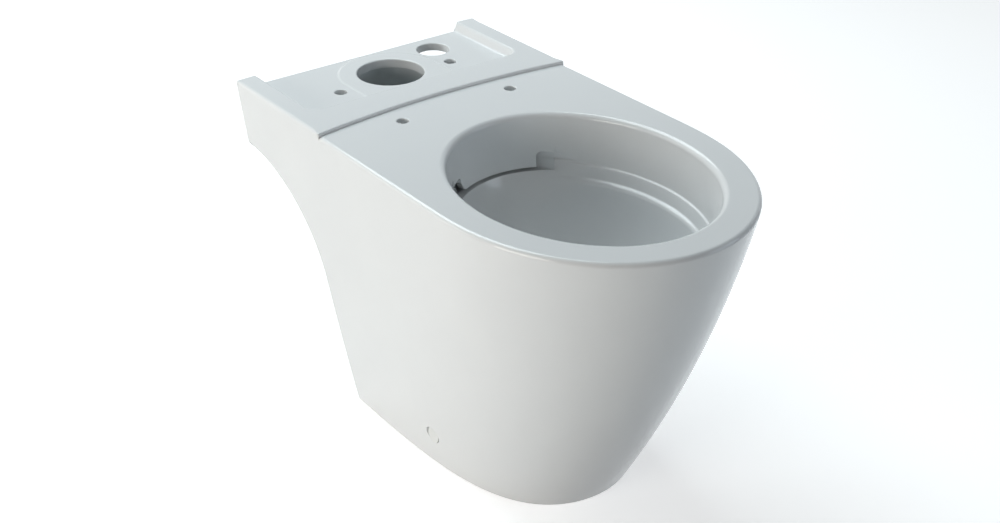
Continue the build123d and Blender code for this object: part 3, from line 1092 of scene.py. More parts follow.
@dataclass
class BowlDeck:
    """Deck round the bowl's mouth, with the two seat-hinge holes."""

    mouth_round: float = 7.0
    hole_spacing: float = 155.0
    hole_y: float = 107.0
    hole_radius: float = 7.0
    hole_rim: float = 1.3
    # Heights of the rows under the rounded brow and under the rounded mouth.
    brow_foot: float = 387.0
    mouth_rows: tuple[float, float] = (390.0, 386.0)
    side_cells: int = 4
    step_cells: int = 48
    # Depth under the deck at which the mouth's wall is asked which way it looks.
    just_under: float = 0.01

    def build(self) -> bpy.types.Object:
        """Makes the deck as one closed slab with rounded brow and mouth.

        Returns:
            The welded piece.
        """
        skin = Skin("china_deck")
        angles = BodyShroud().column_angles()
        edge = WALL.nose_sheet(angles, np.array([WALL.deck])).row(0)
        up = np.broadcast_to(UP, edge.points.shape)
        brow = ball_round(edge.points, edge.normals, up, WALL.deck_round, steps=8)
        nose = stacked(WALL.nose_sheet(angles, np.array([WALL.seam, self.brow_foot])), brow)
        start = nose.points[:, -1]
        end = start.copy()
        end[:, 1] = STEP.y_at(end[:, 0])
        side = ruled(start, end, nose.normals[:, -1], self.side_cells)
        skin.add_both(nose, side)
        x = end[:, :1] * np.linspace(-1, 1, self.step_cells + 1)
        face = places_of(x, STEP.y_at(x), end[:, 2:])
        away = face - np.array([0.0, STEP.centre_y, 0.0])
        away[..., 2] = 0.0
        skin.add(Sheet(face, unit(away)))
        for row, look in ((-1, UP), (0, -UP)):
            half = np.concatenate([nose.points[row], side.points[1:, row]])
            loops = [joined(half, face[row, ::-1], (half * FLIP)[::-1])]
            loops += self._openings(skin, row == -1)
            skin.add_area(loops, look)
        return skin.weld()

    def _openings(self, skin: Skin, top_face: bool) -> list[Array]:
        """Loops of the mouth and the seat-hinge holes, whose walls are added once.

        Args:
            skin: Where the walls go.
            top_face: True for the loops in the deck's top, False for its underside.

        Returns:
            The closed loops.
        """
        angle = oval_angles()
        edge = OVAL.ring(angle, WALL.deck, 0.0)
        inward = bowl_sheet(OVAL.upper, angle, np.array([WALL.deck - self.just_under])).normals[0]
        lip = ball_round(edge, np.broadcast_to(UP, edge.shape), inward, self.mouth_round, steps=8)
        well = bowl_sheet(OVAL.upper, angle, np.array([*self.mouth_rows, WALL.seam]))
        loops = [lip.points[0][:-1] if top_face else well.points[-1][:-1]]
        if top_face:
            skin.add(lip, ruled(lip.points[-1], well.points[0], lip.normals[-1]), well)
        for side in (-0.5, 0.5):
            hole = Hole(side * self.hole_spacing, self.hole_y, self.hole_radius, self.hole_rim)
            rim, bore = hole.rings(WALL.deck, WALL.seam)
            loops.append(rim.points[0][:-1] if top_face else bore.points[-1][:-1])
            if top_face:
                skin.add(rim, bore)
        return loops


@dataclass
class CisternShelf:
    """Raised shelf with its lips, sunk landing, low pad and holes."""

    edge_round: float = 1.8
    side_round: float = 5.0
    rear_round: float = 2.0
    deck_corner: float = 0.3
    corner_z: float = 396.0
    corner_drop: float = 2.0
    front_corner: float = 2.6
    rear_corner: float = 3.4
    edge_change: float = 14.0
    # How far the edge's radius stays under the rear corner's, behind the flush hole.
    rear_spare: float = 0.2
    landing_depth: float = 12.0
    landing_front_y: float = 188.0
    landing_half_width: float = 147.1
    landing_corner: float = 12.0
    slope: float = math.radians(72.0)
    toe_round: float = 3.0
    crest_round: float = 2.0
    pad_rise: float = 1.2
    pad_radius: float = 64.0
    # The pad's edge: its height at the radius before it is held, its slope and its softness.
    pad_brim: float = 1.5
    pad_slope: float = 1.2
    pad_soft: float = 1.6
    flush_y: float = 250.0
    holes: tuple[Hole, ...] = field(default_factory=lambda: (
        Hole(x=0.0, y=250.0, radius=42.0, rim=1.6, count=96),
        Hole(x=-81.0, y=236.0, radius=7.5, rim=1.3), Hole(x=81.0, y=236.0, radius=7.5, rim=1.3),
        Hole(x=87.0, y=283.0, radius=21.0, rim=1.5, count=64)))
    # How far behind a hole the height of its rim is read.
    rim_offset: float = 3.0
    # Steps of the outline's arc, front corner, rear corner and rear edge.
    outline_steps: tuple[int, int, int, int] = (30, 5, 4, 100)
    # Points along the outline's side, closer together at its ends.
    side_shares: tuple[float, ...] = (
        0.012, 0.03, 0.05, 0.08, 0.2, 0.3, 0.4, 0.5, 0.6, 0.7, 0.8, 0.92, 0.95, 0.97, 0.988)
    # Lattices inside the top: pitch, room kept to the loops, and if it is the one for slopes.
    lattices: tuple[tuple[float, float, bool], ...] = ((9.0, 4.0, False), (1.6, 0.8, True))
    lattice_x: tuple[float, float] = (-172.0, 172.0)
    lattice_y: tuple[float, float] = (125.0, 319.0)
    # A point is on a slope if the normal leans by more than this within the reach round it.
    slope_lean: float = 1e-4
    slope_reach: float = 2.0

    def ramp(self, out: Array) -> Array:
        """Rise from the landing's floor to the lips: a steep slope between two arcs.

        An arc of radius r that touches the level and the slope, turned by A, starts
        r tan(A / 2) before the corner and rises by r - sqrt(r2 - u2) after a run u.

        Args:
            out: Distance outside the sharp corner of the landing's floor.

        Returns:
            Heights above the floor.
        """
        rise, half = math.tan(self.slope), math.tan(self.slope / 2)
        toe, crest = self.toe_round, self.crest_round
        top = self.landing_depth / rise
        low = toe - np.sqrt(toe ** 2 - np.clip(out + toe * half, 0, toe * math.sin(self.slope)) ** 2)
        run = np.clip(top + crest * half - out, 0, crest * math.sin(self.slope))
        high = self.landing_depth - crest + np.sqrt(crest ** 2 - run ** 2)
        ramp = np.where(out < toe * half * math.cos(self.slope), low, rise * out)
        return np.where(out > top - crest * half * math.cos(self.slope), high, ramp)

    def edge_radii(self, edge: Array) -> Array:
        """Radius of the top's rounded edge: small along the step, greater on side and rear.

        Args:
            edge: Points of the top's sharp edge.

        Returns:
            The radii, one per point.
        """
        x, y = edge[:, 0], edge[:, 1]
        width = float(WALL.across(np.array(WALL.top)))
        from_step = y - STEP.y_at(x) - self.front_corner
        from_rear = np.maximum(width - x, WALL.half_length - y) - self.rear_corner
        grow = smooth(np.minimum(from_step, from_rear) / self.edge_change)
        least = np.where(y > self.flush_y, self.rear_corner - self.rear_spare, self.edge_round)
        most = np.where(y > WALL.half_length - self.rear_corner, self.rear_round, self.side_round)
        return blend(grow, least, most)[:, None]

    def height(self, x: Array, y: Array) -> Array:
        """Height of the shelf's top.

        The distance outside the landing's floor, less a corner radius, gives a ramp that is
        held softly between the floor and the lips, and the pad fades where the ramp rises.

        Args:
            x: Places across.
            y: Places along.

        Returns:
            Heights.
        """
        side = np.abs(x) - self.landing_half_width + self.landing_corner
        front = self.landing_front_y - y + self.landing_corner
        out = np.hypot(np.maximum(side, 0), np.maximum(front, 0))
        out = out + np.minimum(np.maximum(side, front), 0) - self.landing_corner
        ramp = self.ramp(out)
        beyond = np.hypot(x, np.maximum(y - self.flush_y, 0.0)) - self.pad_radius
        pad = soft_max(self.pad_brim - self.pad_slope * beyond, 0.0, self.pad_soft)
        pad = soft_min(pad, self.pad_rise, self.pad_soft)
        return WALL.top - self.landing_depth + ramp + pad * (1 - ramp / self.landing_depth)

    def normal(self, x: Array, y: Array) -> Array:
        """Normal of the shelf's top, from central differences of its height.

        Args:
            x: Places across.
            y: Places along.

        Returns:
            The normals.
        """
        small = SLOPE_NUDGE
        dx = (self.height(x + small, y) - self.height(x - small, y)) / (2 * small)
        dy = (self.height(x, y + small) - self.height(x, y - small)) / (2 * small)
        return unit(np.stack([-dx, -dy, np.ones_like(dx)], axis=-1))

    def half_loop(self, z: float, small: float) -> Sheet:
        """Right half of the shelf's outline at a height, from the step round to the rear.

        Args:
            z: Height.
            small: Plan radius of the corner between the step and the side.

        Returns:
            One row of points: arc, front corner, side, rear corner and rear edge.
        """
        arc_steps, front_steps, rear_steps, back_steps = self.outline_steps
        width, rear, big = float(WALL.across(np.array(z))), WALL.half_length, self.rear_corner
        corner_x = width - small
        corner_y = STEP.centre_y + math.sqrt((STEP.radius + small) ** 2 - corner_x ** 2)
        swing = math.atan2(corner_x, corner_y - STEP.centre_y)
        arc = circle(np.linspace(0.0, swing, arc_steps + 1))[:, ::-1]
        bend = circle(np.linspace(-math.pi / 2 - swing, 0.0, front_steps + 1)[1:])
        side_y = blend(np.array(self.side_shares), corner_y, rear - big)
        end = circle(np.linspace(0.0, math.pi / 2, rear_steps + 1))
        back_x = np.linspace(width - big, 0.0, back_steps + 1)[1:]
        plan = np.concatenate([
            np.array([0.0, STEP.centre_y]) + STEP.radius * arc,
            np.array([corner_x, corner_y]) + small * bend,
            np.stack([np.full_like(side_y, width), side_y], axis=-1),
            np.array([width - big, rear - big]) + big * end,
            np.stack([back_x, np.full_like(back_x, rear)], axis=-1)])
        look = np.concatenate([-arc, bend, np.tile([1.0, 0.0], (len(side_y), 1)), end,
                               np.tile([0.0, 1.0], (len(back_x), 1))])
        lean = -WALL.slope(np.array(z)) * np.maximum(look[:, :1], 0.0)
        points = np.hstack([plan, np.full((len(plan), 1), z)])
        return Sheet(points, unit(np.hstack([look, lean])))

    def build(self) -> bpy.types.Object:
        """Makes the shelf as one closed slab.

        Returns:
            The welded piece.
        """
        skin = Skin("china_cistern_shelf")
        low = self.half_loop(WALL.seam, self.deck_corner)
        middle = self.half_loop(self.corner_z, self.deck_corner)
        edge = self.half_loop(WALL.top, self.front_corner)
        x, y = edge.points[:, 0], edge.points[:, 1]
        edge.points[:, 2] = self.height(x, y)
        radii = self.edge_radii(edge.points)
        crown = ball_round(edge.points, edge.normals, self.normal(x, y), radii, steps=6)
        crown.points[..., 0] = np.minimum(crown.points[..., 0], WALL.half_width)
        brim = crown.points[0, :, 2] - self.corner_drop
        middle.points[:, 2] = np.minimum(middle.points[:, 2], brim)
        skin.add_both(stacked(low, middle, crown.row(0)), crown)
        loops, floors = ([joined(half, (half * FLIP)[::-1])] for half in (crown.points[-1], low.points))
        for hole in self.holes:
            behind = hole.y + hole.radius + self.rim_offset
            rim, bore = hole.rings(float(self.height(np.array(hole.x), np.array(behind))), WALL.seam)
            skin.add(rim, bore)
            loops.append(rim.points[0][:-1])
            floors.append(bore.points[-1][:-1])
        inner = self._inner_points(loops)
        places = np.concatenate([*loops, inner])
        skin.add_area(loops, self.normal(places[:, 0], places[:, 1]), inner)
        skin.add_area(floors, -UP)
        return skin.weld()

    def _inner_points(self, loops: Sequence[Array]) -> Array:
        """Points inside the top: a wide lattice, and a fine one where the height changes.

        Args:
            loops: The top's closed loops.

        Returns:
            The points.
        """
        found, rings, reach = [], np.concatenate(loops)[:, :2], self.slope_reach
        for pitch, room, for_slopes in self.lattices:
            lattice = np.meshgrid(np.arange(*self.lattice_x, pitch), np.arange(*self.lattice_y, pitch))
            x, y = (places.ravel() for places in lattice)
            lean = np.max([1 - self.normal(x + dx, y + dy)[:, 2] for dx, dy in (
                (0, 0), (reach, 0), (-reach, 0), (0, reach), (0, -reach))], axis=0)
            plan = np.stack([x, y], axis=-1)[(lean > self.slope_lean) == for_slopes]
            plan = plan[inside_loops(plan, loops)]
            gap = np.min(np.linalg.norm(plan[:, None] - rings[None], axis=-1), axis=1)
            found.append(plan[gap > room])
        plan = np.concatenate(found)
        return np.hstack([plan, self.height(plan[:, 0], plan[:, 1])[:, None]])


@dataclass
class Bowl:
    """Upper wall, flush ledge and basin down to the top of the trap."""

    ledge_top: float = 340.0
    ledge_bottom: float = 324.0
    ledge_run: float = 9.0
    sump_z: float = 125.0
    sump_y: float = -92.35
    sump_half_length: float = 52.6
    sump_half_width: float = 38.0
    wall: float = 10.0
    window_sill: float = 331.5
    # The groove: its depth, its top at the window and at its end, its floor, and the heights
    # over which it eases in under its top and over its floor.
    groove_depth: float = 4.0
    groove_tops: tuple[float, float] = (356.0, 346.0)
    groove_floor: float = 341.2
    groove_ease: tuple[float, float] = (7.0, 2.5)
    # Angle past the window over which the ledge's small steps grow out of a plain slope.
    ledge_fade: float = 0.3
    # Corners of the ledge's profile as inset and height, and the radii that round them.
    ledge_corners: tuple[tuple[float, float], ...] = (
        (3.82, 341.6), (4.0, 340.2), (6.4, 339.3), (9.0, 331.5), (10.9, 325.6), (13.0, 324.5))
    ledge_radii: tuple[float, ...] = (1.0, 1.2, 0.0, 1.2)
    corner_steps: int = 4
    # Rows of the upper wall under the seam: heights, and the steps down to each.
    upper_rows: tuple[tuple[float, int], ...] = ((371.0, 1), (360.0, 1), (353.0, 1), (342.5, 9))
    # Rows of the basin: the topmost, the cells below it, and a power that crowds them low down.
    basin_top: float = 318.0
    basin_cells: int = 24
    basin_crowding: float = 1.15
    # Powers of the basin's laws, and the share of the height that they start at.
    rear_power: float = 1.3
    side_power: float = 0.8
    least_share: float = 1e-3

    def ledge_profile(self) -> tuple[Array, Array]:
        """The ledge's profile: a small step, a steep band and a second small step.

        Each corner is rounded by a parabola through points set off by its radius.

        Returns:
            Insets and heights from the wall's foot down to the basin's brim.
        """
        corners = np.array(self.ledge_corners)
        curve, tip = np.linspace(0.0, 1.0, self.corner_steps + 1)[:, None], np.array([[0.5]])
        found = [corners[:1]]
        for i, reach in enumerate(self.ledge_radii, start=1):
            before, after = unit(corners[i - 1] - corners[i]), unit(corners[i + 1] - corners[i])
            t = curve if reach > 0 else tip
            found.append(corners[i] + reach * ((1 - t) ** 2 * before + t ** 2 * after))
        profile = np.concatenate([*found, corners[-1:]])
        return profile[:, 0], profile[:, 1]

    def plain_inset(self, z: Array) -> Array:
        """How far the ledge's plain slope is drawn in at a height, evenly on the way down."""
        share = (self.ledge_top - z) / (self.ledge_top - self.ledge_bottom)
        return OVAL.draft + self.ledge_run * share

    def grooved(self, angle: Array, z: Array) -> Array:
        """The upper wall with the groove that runs out on both sides of the window.

        Its depth falls evenly with the angle past the window, and smoothsteps in height
        hold it between its floor and a top edge that slopes down.

        Args:
            angle: Angle round the oval.
            z: Height.

        Returns:
            The points.
        """
        share = share_past(angle, WINDOW_ANGLE, GROOVE_SPAN)
        under = smooth((blend(share, *self.groove_tops) - z) / self.groove_ease[0])
        over = smooth((z - self.groove_floor) / self.groove_ease[1])
        return OVAL.upper(angle, z, self.groove_depth * (1 - share) * (under * over))

    def basin(self, angle: Array, z: Array, extra: float = 0.0) -> Array:
        """The basin: ovals whose front, rear and side each shrink by a law of their own.

        With h from 0 at the sump to 1 at the ledge, the front goes with sin(h pi / 2), and
        the rear and the side each with h to a power.

        Args:
            angle: Angle round the oval.
            z: Height.
            extra: Wall thickness to add for the back.

        Returns:
            The points.
        """
        share = np.clip((z - self.sump_z) / (self.ledge_bottom - self.sump_z), self.least_share, None)
        inset = OVAL.draft + self.ledge_run
        top_half, shift = OVAL.half_length - inset, self.sump_y - OVAL.centre_y
        front = blend(np.sin(share * math.pi / 2), self.sump_half_length, top_half + shift)
        rear = blend(share ** self.rear_power, self.sump_half_length, top_half - shift)
        side = blend(share ** self.side_power, self.sump_half_width, OVAL.half_width - inset)
        x = (side + extra) * np.sin(angle)
        y = self.sump_y + (rear - front) / 2 - ((front + rear) / 2 + extra) * np.cos(angle)
        return places_of(x, y, z)

    def build(self) -> bpy.types.Object:
        """Makes the bowl as one closed shell with the window for the flush.

        The window is wide on the inside and only as wide as the apron on the back, so its
        jambs are slanted.

        Returns:
            The welded piece.
        """
        skin = Skin("china_bowl")
        angle = oval_angles()
        inner, outer = self._stack(angle, 0.0), self._stack(angle, self.wall)
        sill = int(np.argmin(np.abs(inner.points[:, 0, 2] - self.window_sill)))
        gap, rear_gap = cells_within(angle, WINDOW_ANGLE), cells_within(angle, APRON_ANGLE)
        skin.add(inner.without(slice(0, sill), gap), outer.without(slice(0, sill), rear_gap))
        (first, last), (rear_first, rear_last) = ends_of(gap), ends_of(rear_gap)
        for column, rear_column, side in ((first, rear_first, 1.0), (last, rear_last, -1.0)):
            near, far = inner.points[:sill + 1, column], outer.points[:sill + 1, rear_column]
            skin.add(ruled(near, far, side * unit(np.cross(UP, far - near))))
        for row, part, rear_part in (
                (sill, slice(first, last + 1), slice(rear_first, rear_last + 1)),
                (0, slice(0, first + 1), slice(0, rear_first + 1)),
                (0, slice(last, None), slice(rear_last, None))):
            skin.add_area([joined(inner.points[row, part], outer.points[row, rear_part][::-1])], UP)
        skin.add(ruled(inner.points[-1], outer.points[-1], -UP))
        return skin.weld()

    def _stack(self, angle: Array, extra: float) -> Sheet:
        """All rows of the bowl's inside or back, from the seam to the sump.

        The inside has the groove and the ledge's small steps, the back is plain.

        Args:
            angle: Angles round the oval.
            extra: Wall thickness for the back, 0 for the inside.

        Returns:
            One sheet with the same rows for both sides.
        """
        facing = Facing.OUT if extra > 0 else Facing.IN
        insets, heights = self.ledge_profile()
        steps = np.arange(len(heights), dtype=float)

        def ledge(a: Array, t: Array) -> Array:
            """Points of the ledge.

            Args:
                a: Angle round the oval.
                t: Place along the profile, counted in its points.

            Returns:
                The points.
            """
            z = np.interp(t, steps, heights)
            inset = self.plain_inset(z)
            if facing is Facing.IN:
                fade = share_past(a, WINDOW_ANGLE, self.ledge_fade)
                inset = blend(fade, inset, np.interp(t, steps, insets))
            return OVAL.ring(a, z, inset - extra)

        plain = facing is Facing.OUT
        upper = (lambda a, z: OVAL.upper(a, z, extra)) if plain else self.grooved
        up_from_sump = (1 - np.linspace(0, 1, self.basin_cells + 1)) ** self.basin_crowding
        levels = self.sump_z + (self.basin_top - self.sump_z) * up_from_sump
        return stacked(
            bowl_sheet(upper, angle, stepped(WALL.seam, *self.upper_rows), facing),
            bowl_sheet(ledge, angle, steps, facing),
            bowl_sheet(lambda a, z: self.basin(a, z, extra), angle, levels, facing))


@dataclass
class FlushApron:
    """The part of the upper wall that hangs before the flush channel, between two notches."""

    thickness: float = 8.0
    lip_z: float = 334.0
    notch_z: float = 353.0
    notch_shoulder: float = 4.0
    notch_fall: float = 2.0
    # Shares of a notch's width where its shoulder ends and where its fall starts.
    shoulder_end: float = 0.25
    fall_start: float = 0.4
    # Radius of the lower left corner, which the photo shows rounder than the right one.
    corner_round: float = 11.0
    # Rows above the notches' tops, and rows between them and the lip.
    upper_rows: tuple[float, ...] = (371.0, 360.0)
    lower_rows: tuple[float, ...] = (347.5, 346.0)

    @property
    def notch_row(self) -> int:
        """Row of the faces that follows the notches' tops."""
        return 1 + len(self.upper_rows)

    def lip(self, angle: Array) -> Array:
        """Height of the lip, which rises by r - sqrt(r2 - u2) round the left corner.

        Args:
            angle: Angles round the oval.

        Returns:
            Heights.
        """
        reach = OVAL.half_width * (angle - math.pi - APRON_ANGLE) + self.corner_round
        past = np.clip(reach, 0.0, self.corner_round)
        return self.lip_z + self.corner_round - np.sqrt(self.corner_round ** 2 - past ** 2)

    def notch_top(self, angle: Array) -> Array:
        """Height of a notch's top: a rounded shoulder at the apron, then a slow fall.

        Args:
            angle: Angles round the oval.

        Returns:
            Heights.
        """
        share = share_past(angle, APRON_ANGLE, WINDOW_ANGLE - APRON_ANGLE)
        shoulder = np.clip(1 - share / self.shoulder_end, 0.0, 1.0) ** 2
        run_out = np.clip((share - self.fall_start) / (1 - self.fall_start), 0.0, 1.0) ** 2
        return self.notch_z - self.notch_shoulder * shoulder - self.notch_fall * run_out

    def build(self) -> bpy.types.Object:
        """Makes the apron as one closed plate bent to the oval.

        Returns:
            The welded piece.
        """
        skin = Skin("china_flush_apron")
        angle = oval_angles()
        angle = angle[np.abs(angle - math.pi) < WINDOW_ANGLE + SAME_ANGLE]
        front = self._face(angle, 0.0, Facing.IN)
        back = self._face(angle, self.thickness, Facing.OUT)
        hang = cells_within(angle, APRON_ANGLE)
        (first, last), end, notch = ends_of(hang), len(angle) - 1, self.notch_row
        above, below = slice(0, notch + 1), slice(notch, None)
        skin.add(front.without(below, ~hang), back.without(below, ~hang))
        for row, part, look in ((-1, slice(first, last + 1), -UP), (0, slice(None), UP),
                                (notch, slice(0, first + 1), -UP), (notch, slice(last, None), -UP)):
            skin.add(ruled(front.points[row, part], back.points[row, part], look))
        for column, rows, look in ((first, below, ACROSS), (last, below, -ACROSS),
                                   (0, above, ACROSS), (end, above, -ACROSS)):
            skin.add(ruled(front.points[rows, column], back.points[rows, column], look))
        return skin.weld()

    def _face(self, angle: Array, extra: float, facing: Facing) -> Sheet:
        """One face of the apron, with a row along the notches' tops and one along the lip.

        Args:
            angle: Angles round the oval.
            extra: How far the face lies behind the oval.
            facing: IN for the face that looks to the front, OUT for the one to the wall side.

        Returns:
            The sheet.
        """
        heights = np.array([WALL.seam, *self.upper_rows, self.notch_z, *self.lower_rows, self.lip_z])
        sheet = bowl_sheet(lambda a, z: OVAL.upper(a, z, extra), angle, heights)
        sheet.points[self.notch_row] = OVAL.upper(angle, self.notch_top(angle), extra)
        sheet.points[-1] = OVAL.upper(angle, self.lip(angle), extra)
        sheet.normals = sheet.normals * np.sign(sheet.normals[..., 1:2] * facing.value)
        return sheet


@dataclass
class Trap:
    """The trap's bend and rise and the outlet spigot, swept along one centre line."""

    bore: float = 38.0
    outer: float = 47.0
    bend: float = 50.0
    start_z: float = 125.0
    joint_y: float = 156.5
    end_y: float = 196.5
    cone: float = 12.0
    spigot_outer: float = 51.0
    spigot_bore: float = 42.0
    spigot_round: float = 1.5
    corners: tuple[tuple[float, float], ...] = (
        (-124.0, 158.0), (-18.5, 48.0), (66.5, 245.0), (135.5, 180.0), (156.5, 180.0))
    # How far along the first leg the centre line starts.
    lead: float = 5.0
    # Degrees of turn between the rings of a bend, and the least number of rings in one.
    ring_degrees: float = 6.0
    least_rings: int = 4
    tube_cells: int = 48
    spigot_cells: int = 64
    rim_steps: int = 4
    # Cosine of the greatest angle at which two bands share their normals.
    same_curve: float = 0.85

    def centre_line(self) -> tuple[Array, Array]:
        """Places and directions along the centre line, straight runs joined by arcs.

        Returns:
            Points and unit directions in Y and Z.
        """
        points = np.array(self.corners)
        legs = unit(points[1:] - points[:-1])
        places, ways = [points[:1] + legs[:1] * self.lead], [legs[:1]]
        for corner, before, after in zip(points[1:-1], legs[:-1], legs[1:]):
            turn = math.acos(float(np.clip(before @ after, -1, 1)))
            reach = self.bend * math.tan(turn / 2)
            sense = np.sign(before[0] * after[1] - before[1] * after[0])
            left = np.array([-before[1], before[0]])
            centre = corner - before * reach + left * sense * self.bend
            rings = max(self.least_rings, int(math.degrees(turn) / self.ring_degrees))
            spin = circle(turn * sense * np.linspace(0, 1, rings))
            way = spin[:, :1] * before + spin[:, 1:] * left
            places.append(centre + np.stack([way[:, 1], -way[:, 0]], axis=-1) * sense * self.bend)
            ways.append(way)
        return np.concatenate([*places, points[-1:]]), np.concatenate([*ways, legs[-1:]])

    def tube(self, radius: float, facing: Facing) -> Sheet:
        """A round tube along the centre line, cut level at its start.

        Args:
            radius: The tube's radius.
            facing: OUT for its outside, IN for its bore.

        Returns:
            The sheet, a ring in each row.
        """
        places, ways = self.centre_line()
        angle = np.linspace(0, 2 * math.pi, self.tube_cells + 1)[None, :, None]
        over = in_middle(np.stack([-ways[:, 1], ways[:, 0]], axis=-1))[:, None]
        out = np.sin(angle) * ACROSS + np.cos(angle) * over
        points = in_middle(places)[:, None] + radius * out
        way = in_middle(ways)[0]
        slide = (self.start_z - points[0, :, 2]) / way[2]
        points[0] = points[0] + slide[:, None] * way
        return Sheet(points, facing.value * out)

    def build_trapway(self) -> bpy.types.Object:
        """Makes the bend and rise as one closed tube.

        Returns:
            The welded piece.
        """
        skin = Skin("china_trapway")
        outside, inside = self.tube(self.outer, Facing.OUT), self.tube(self.bore, Facing.IN)
        skin.add(outside, inside, ruled(outside.points[0], inside.points[0], UP),
                 ruled(outside.points[-1], inside.points[-1], TO_WALL))
        return skin.weld()

    def build_spigot(self) -> bpy.types.Object:
        """Makes the outlet spigot, a turned ring with a short cone and a rounded rim.

        Returns:
            The welded piece.
        """
        skin = Skin("china_outlet_spigot")
        neck, edge = self.joint_y + self.cone, self.spigot_round
        arc = edge * circle(np.linspace(0, math.pi / 2, self.rim_steps + 1))
        rim = np.array([self.end_y - edge, self.spigot_outer - edge]) + arc[:, ::-1]
        lip = np.array([self.end_y - edge, self.spigot_bore + edge]) + arc * [1, -1]
        self._turn(skin, np.concatenate([
            [(self.joint_y, self.outer), (neck, self.spigot_outer)], rim, lip,
            [(neck, self.spigot_bore), (self.joint_y, self.bore)]]))
        return skin.weld()

    def _turn(self, skin: Skin, profile: Array) -> None:
        """Turns a profile of (Y, radius) round the outlet's axis, a flat band for each run.

        Args:
            skin: Where the bands go.
            profile: Points of the profile, from the outside of the joint to its bore.
        """
        angle = np.linspace(0, 2 * math.pi, self.spigot_cells + 1)
        spin = np.stack([np.sin(angle), np.zeros_like(angle), np.cos(angle)], axis=-1)
        centre = self.corners[-1][1] * UP
        steps = np.roll(profile, -1, axis=0) - profile
        looks = unit(np.stack([-steps[:, 1], steps[:, 0]], axis=-1))
        for i, look in enumerate(looks):
            after = (i + 1) % len(profile)
            rings = []
            for place, other in ((profile[i], looks[i - 1]), (profile[after], looks[after])):
                shared = unit(look + other) if look @ other > self.same_curve else look
                rings.append(Sheet(centre + spin * place[1] + TO_WALL * place[0],
                                   shared[0] * TO_WALL + shared[1] * spin))
            skin.add(stacked(*rings))


# Studio

@dataclass(frozen=True)
class SoftBox:
    """A soft rectangular lamp, with its place and size in metres and its power in watts."""

    name: str
    place: tuple[float, float, float]
    size: tuple[float, float]
    watts: float
    colour: str


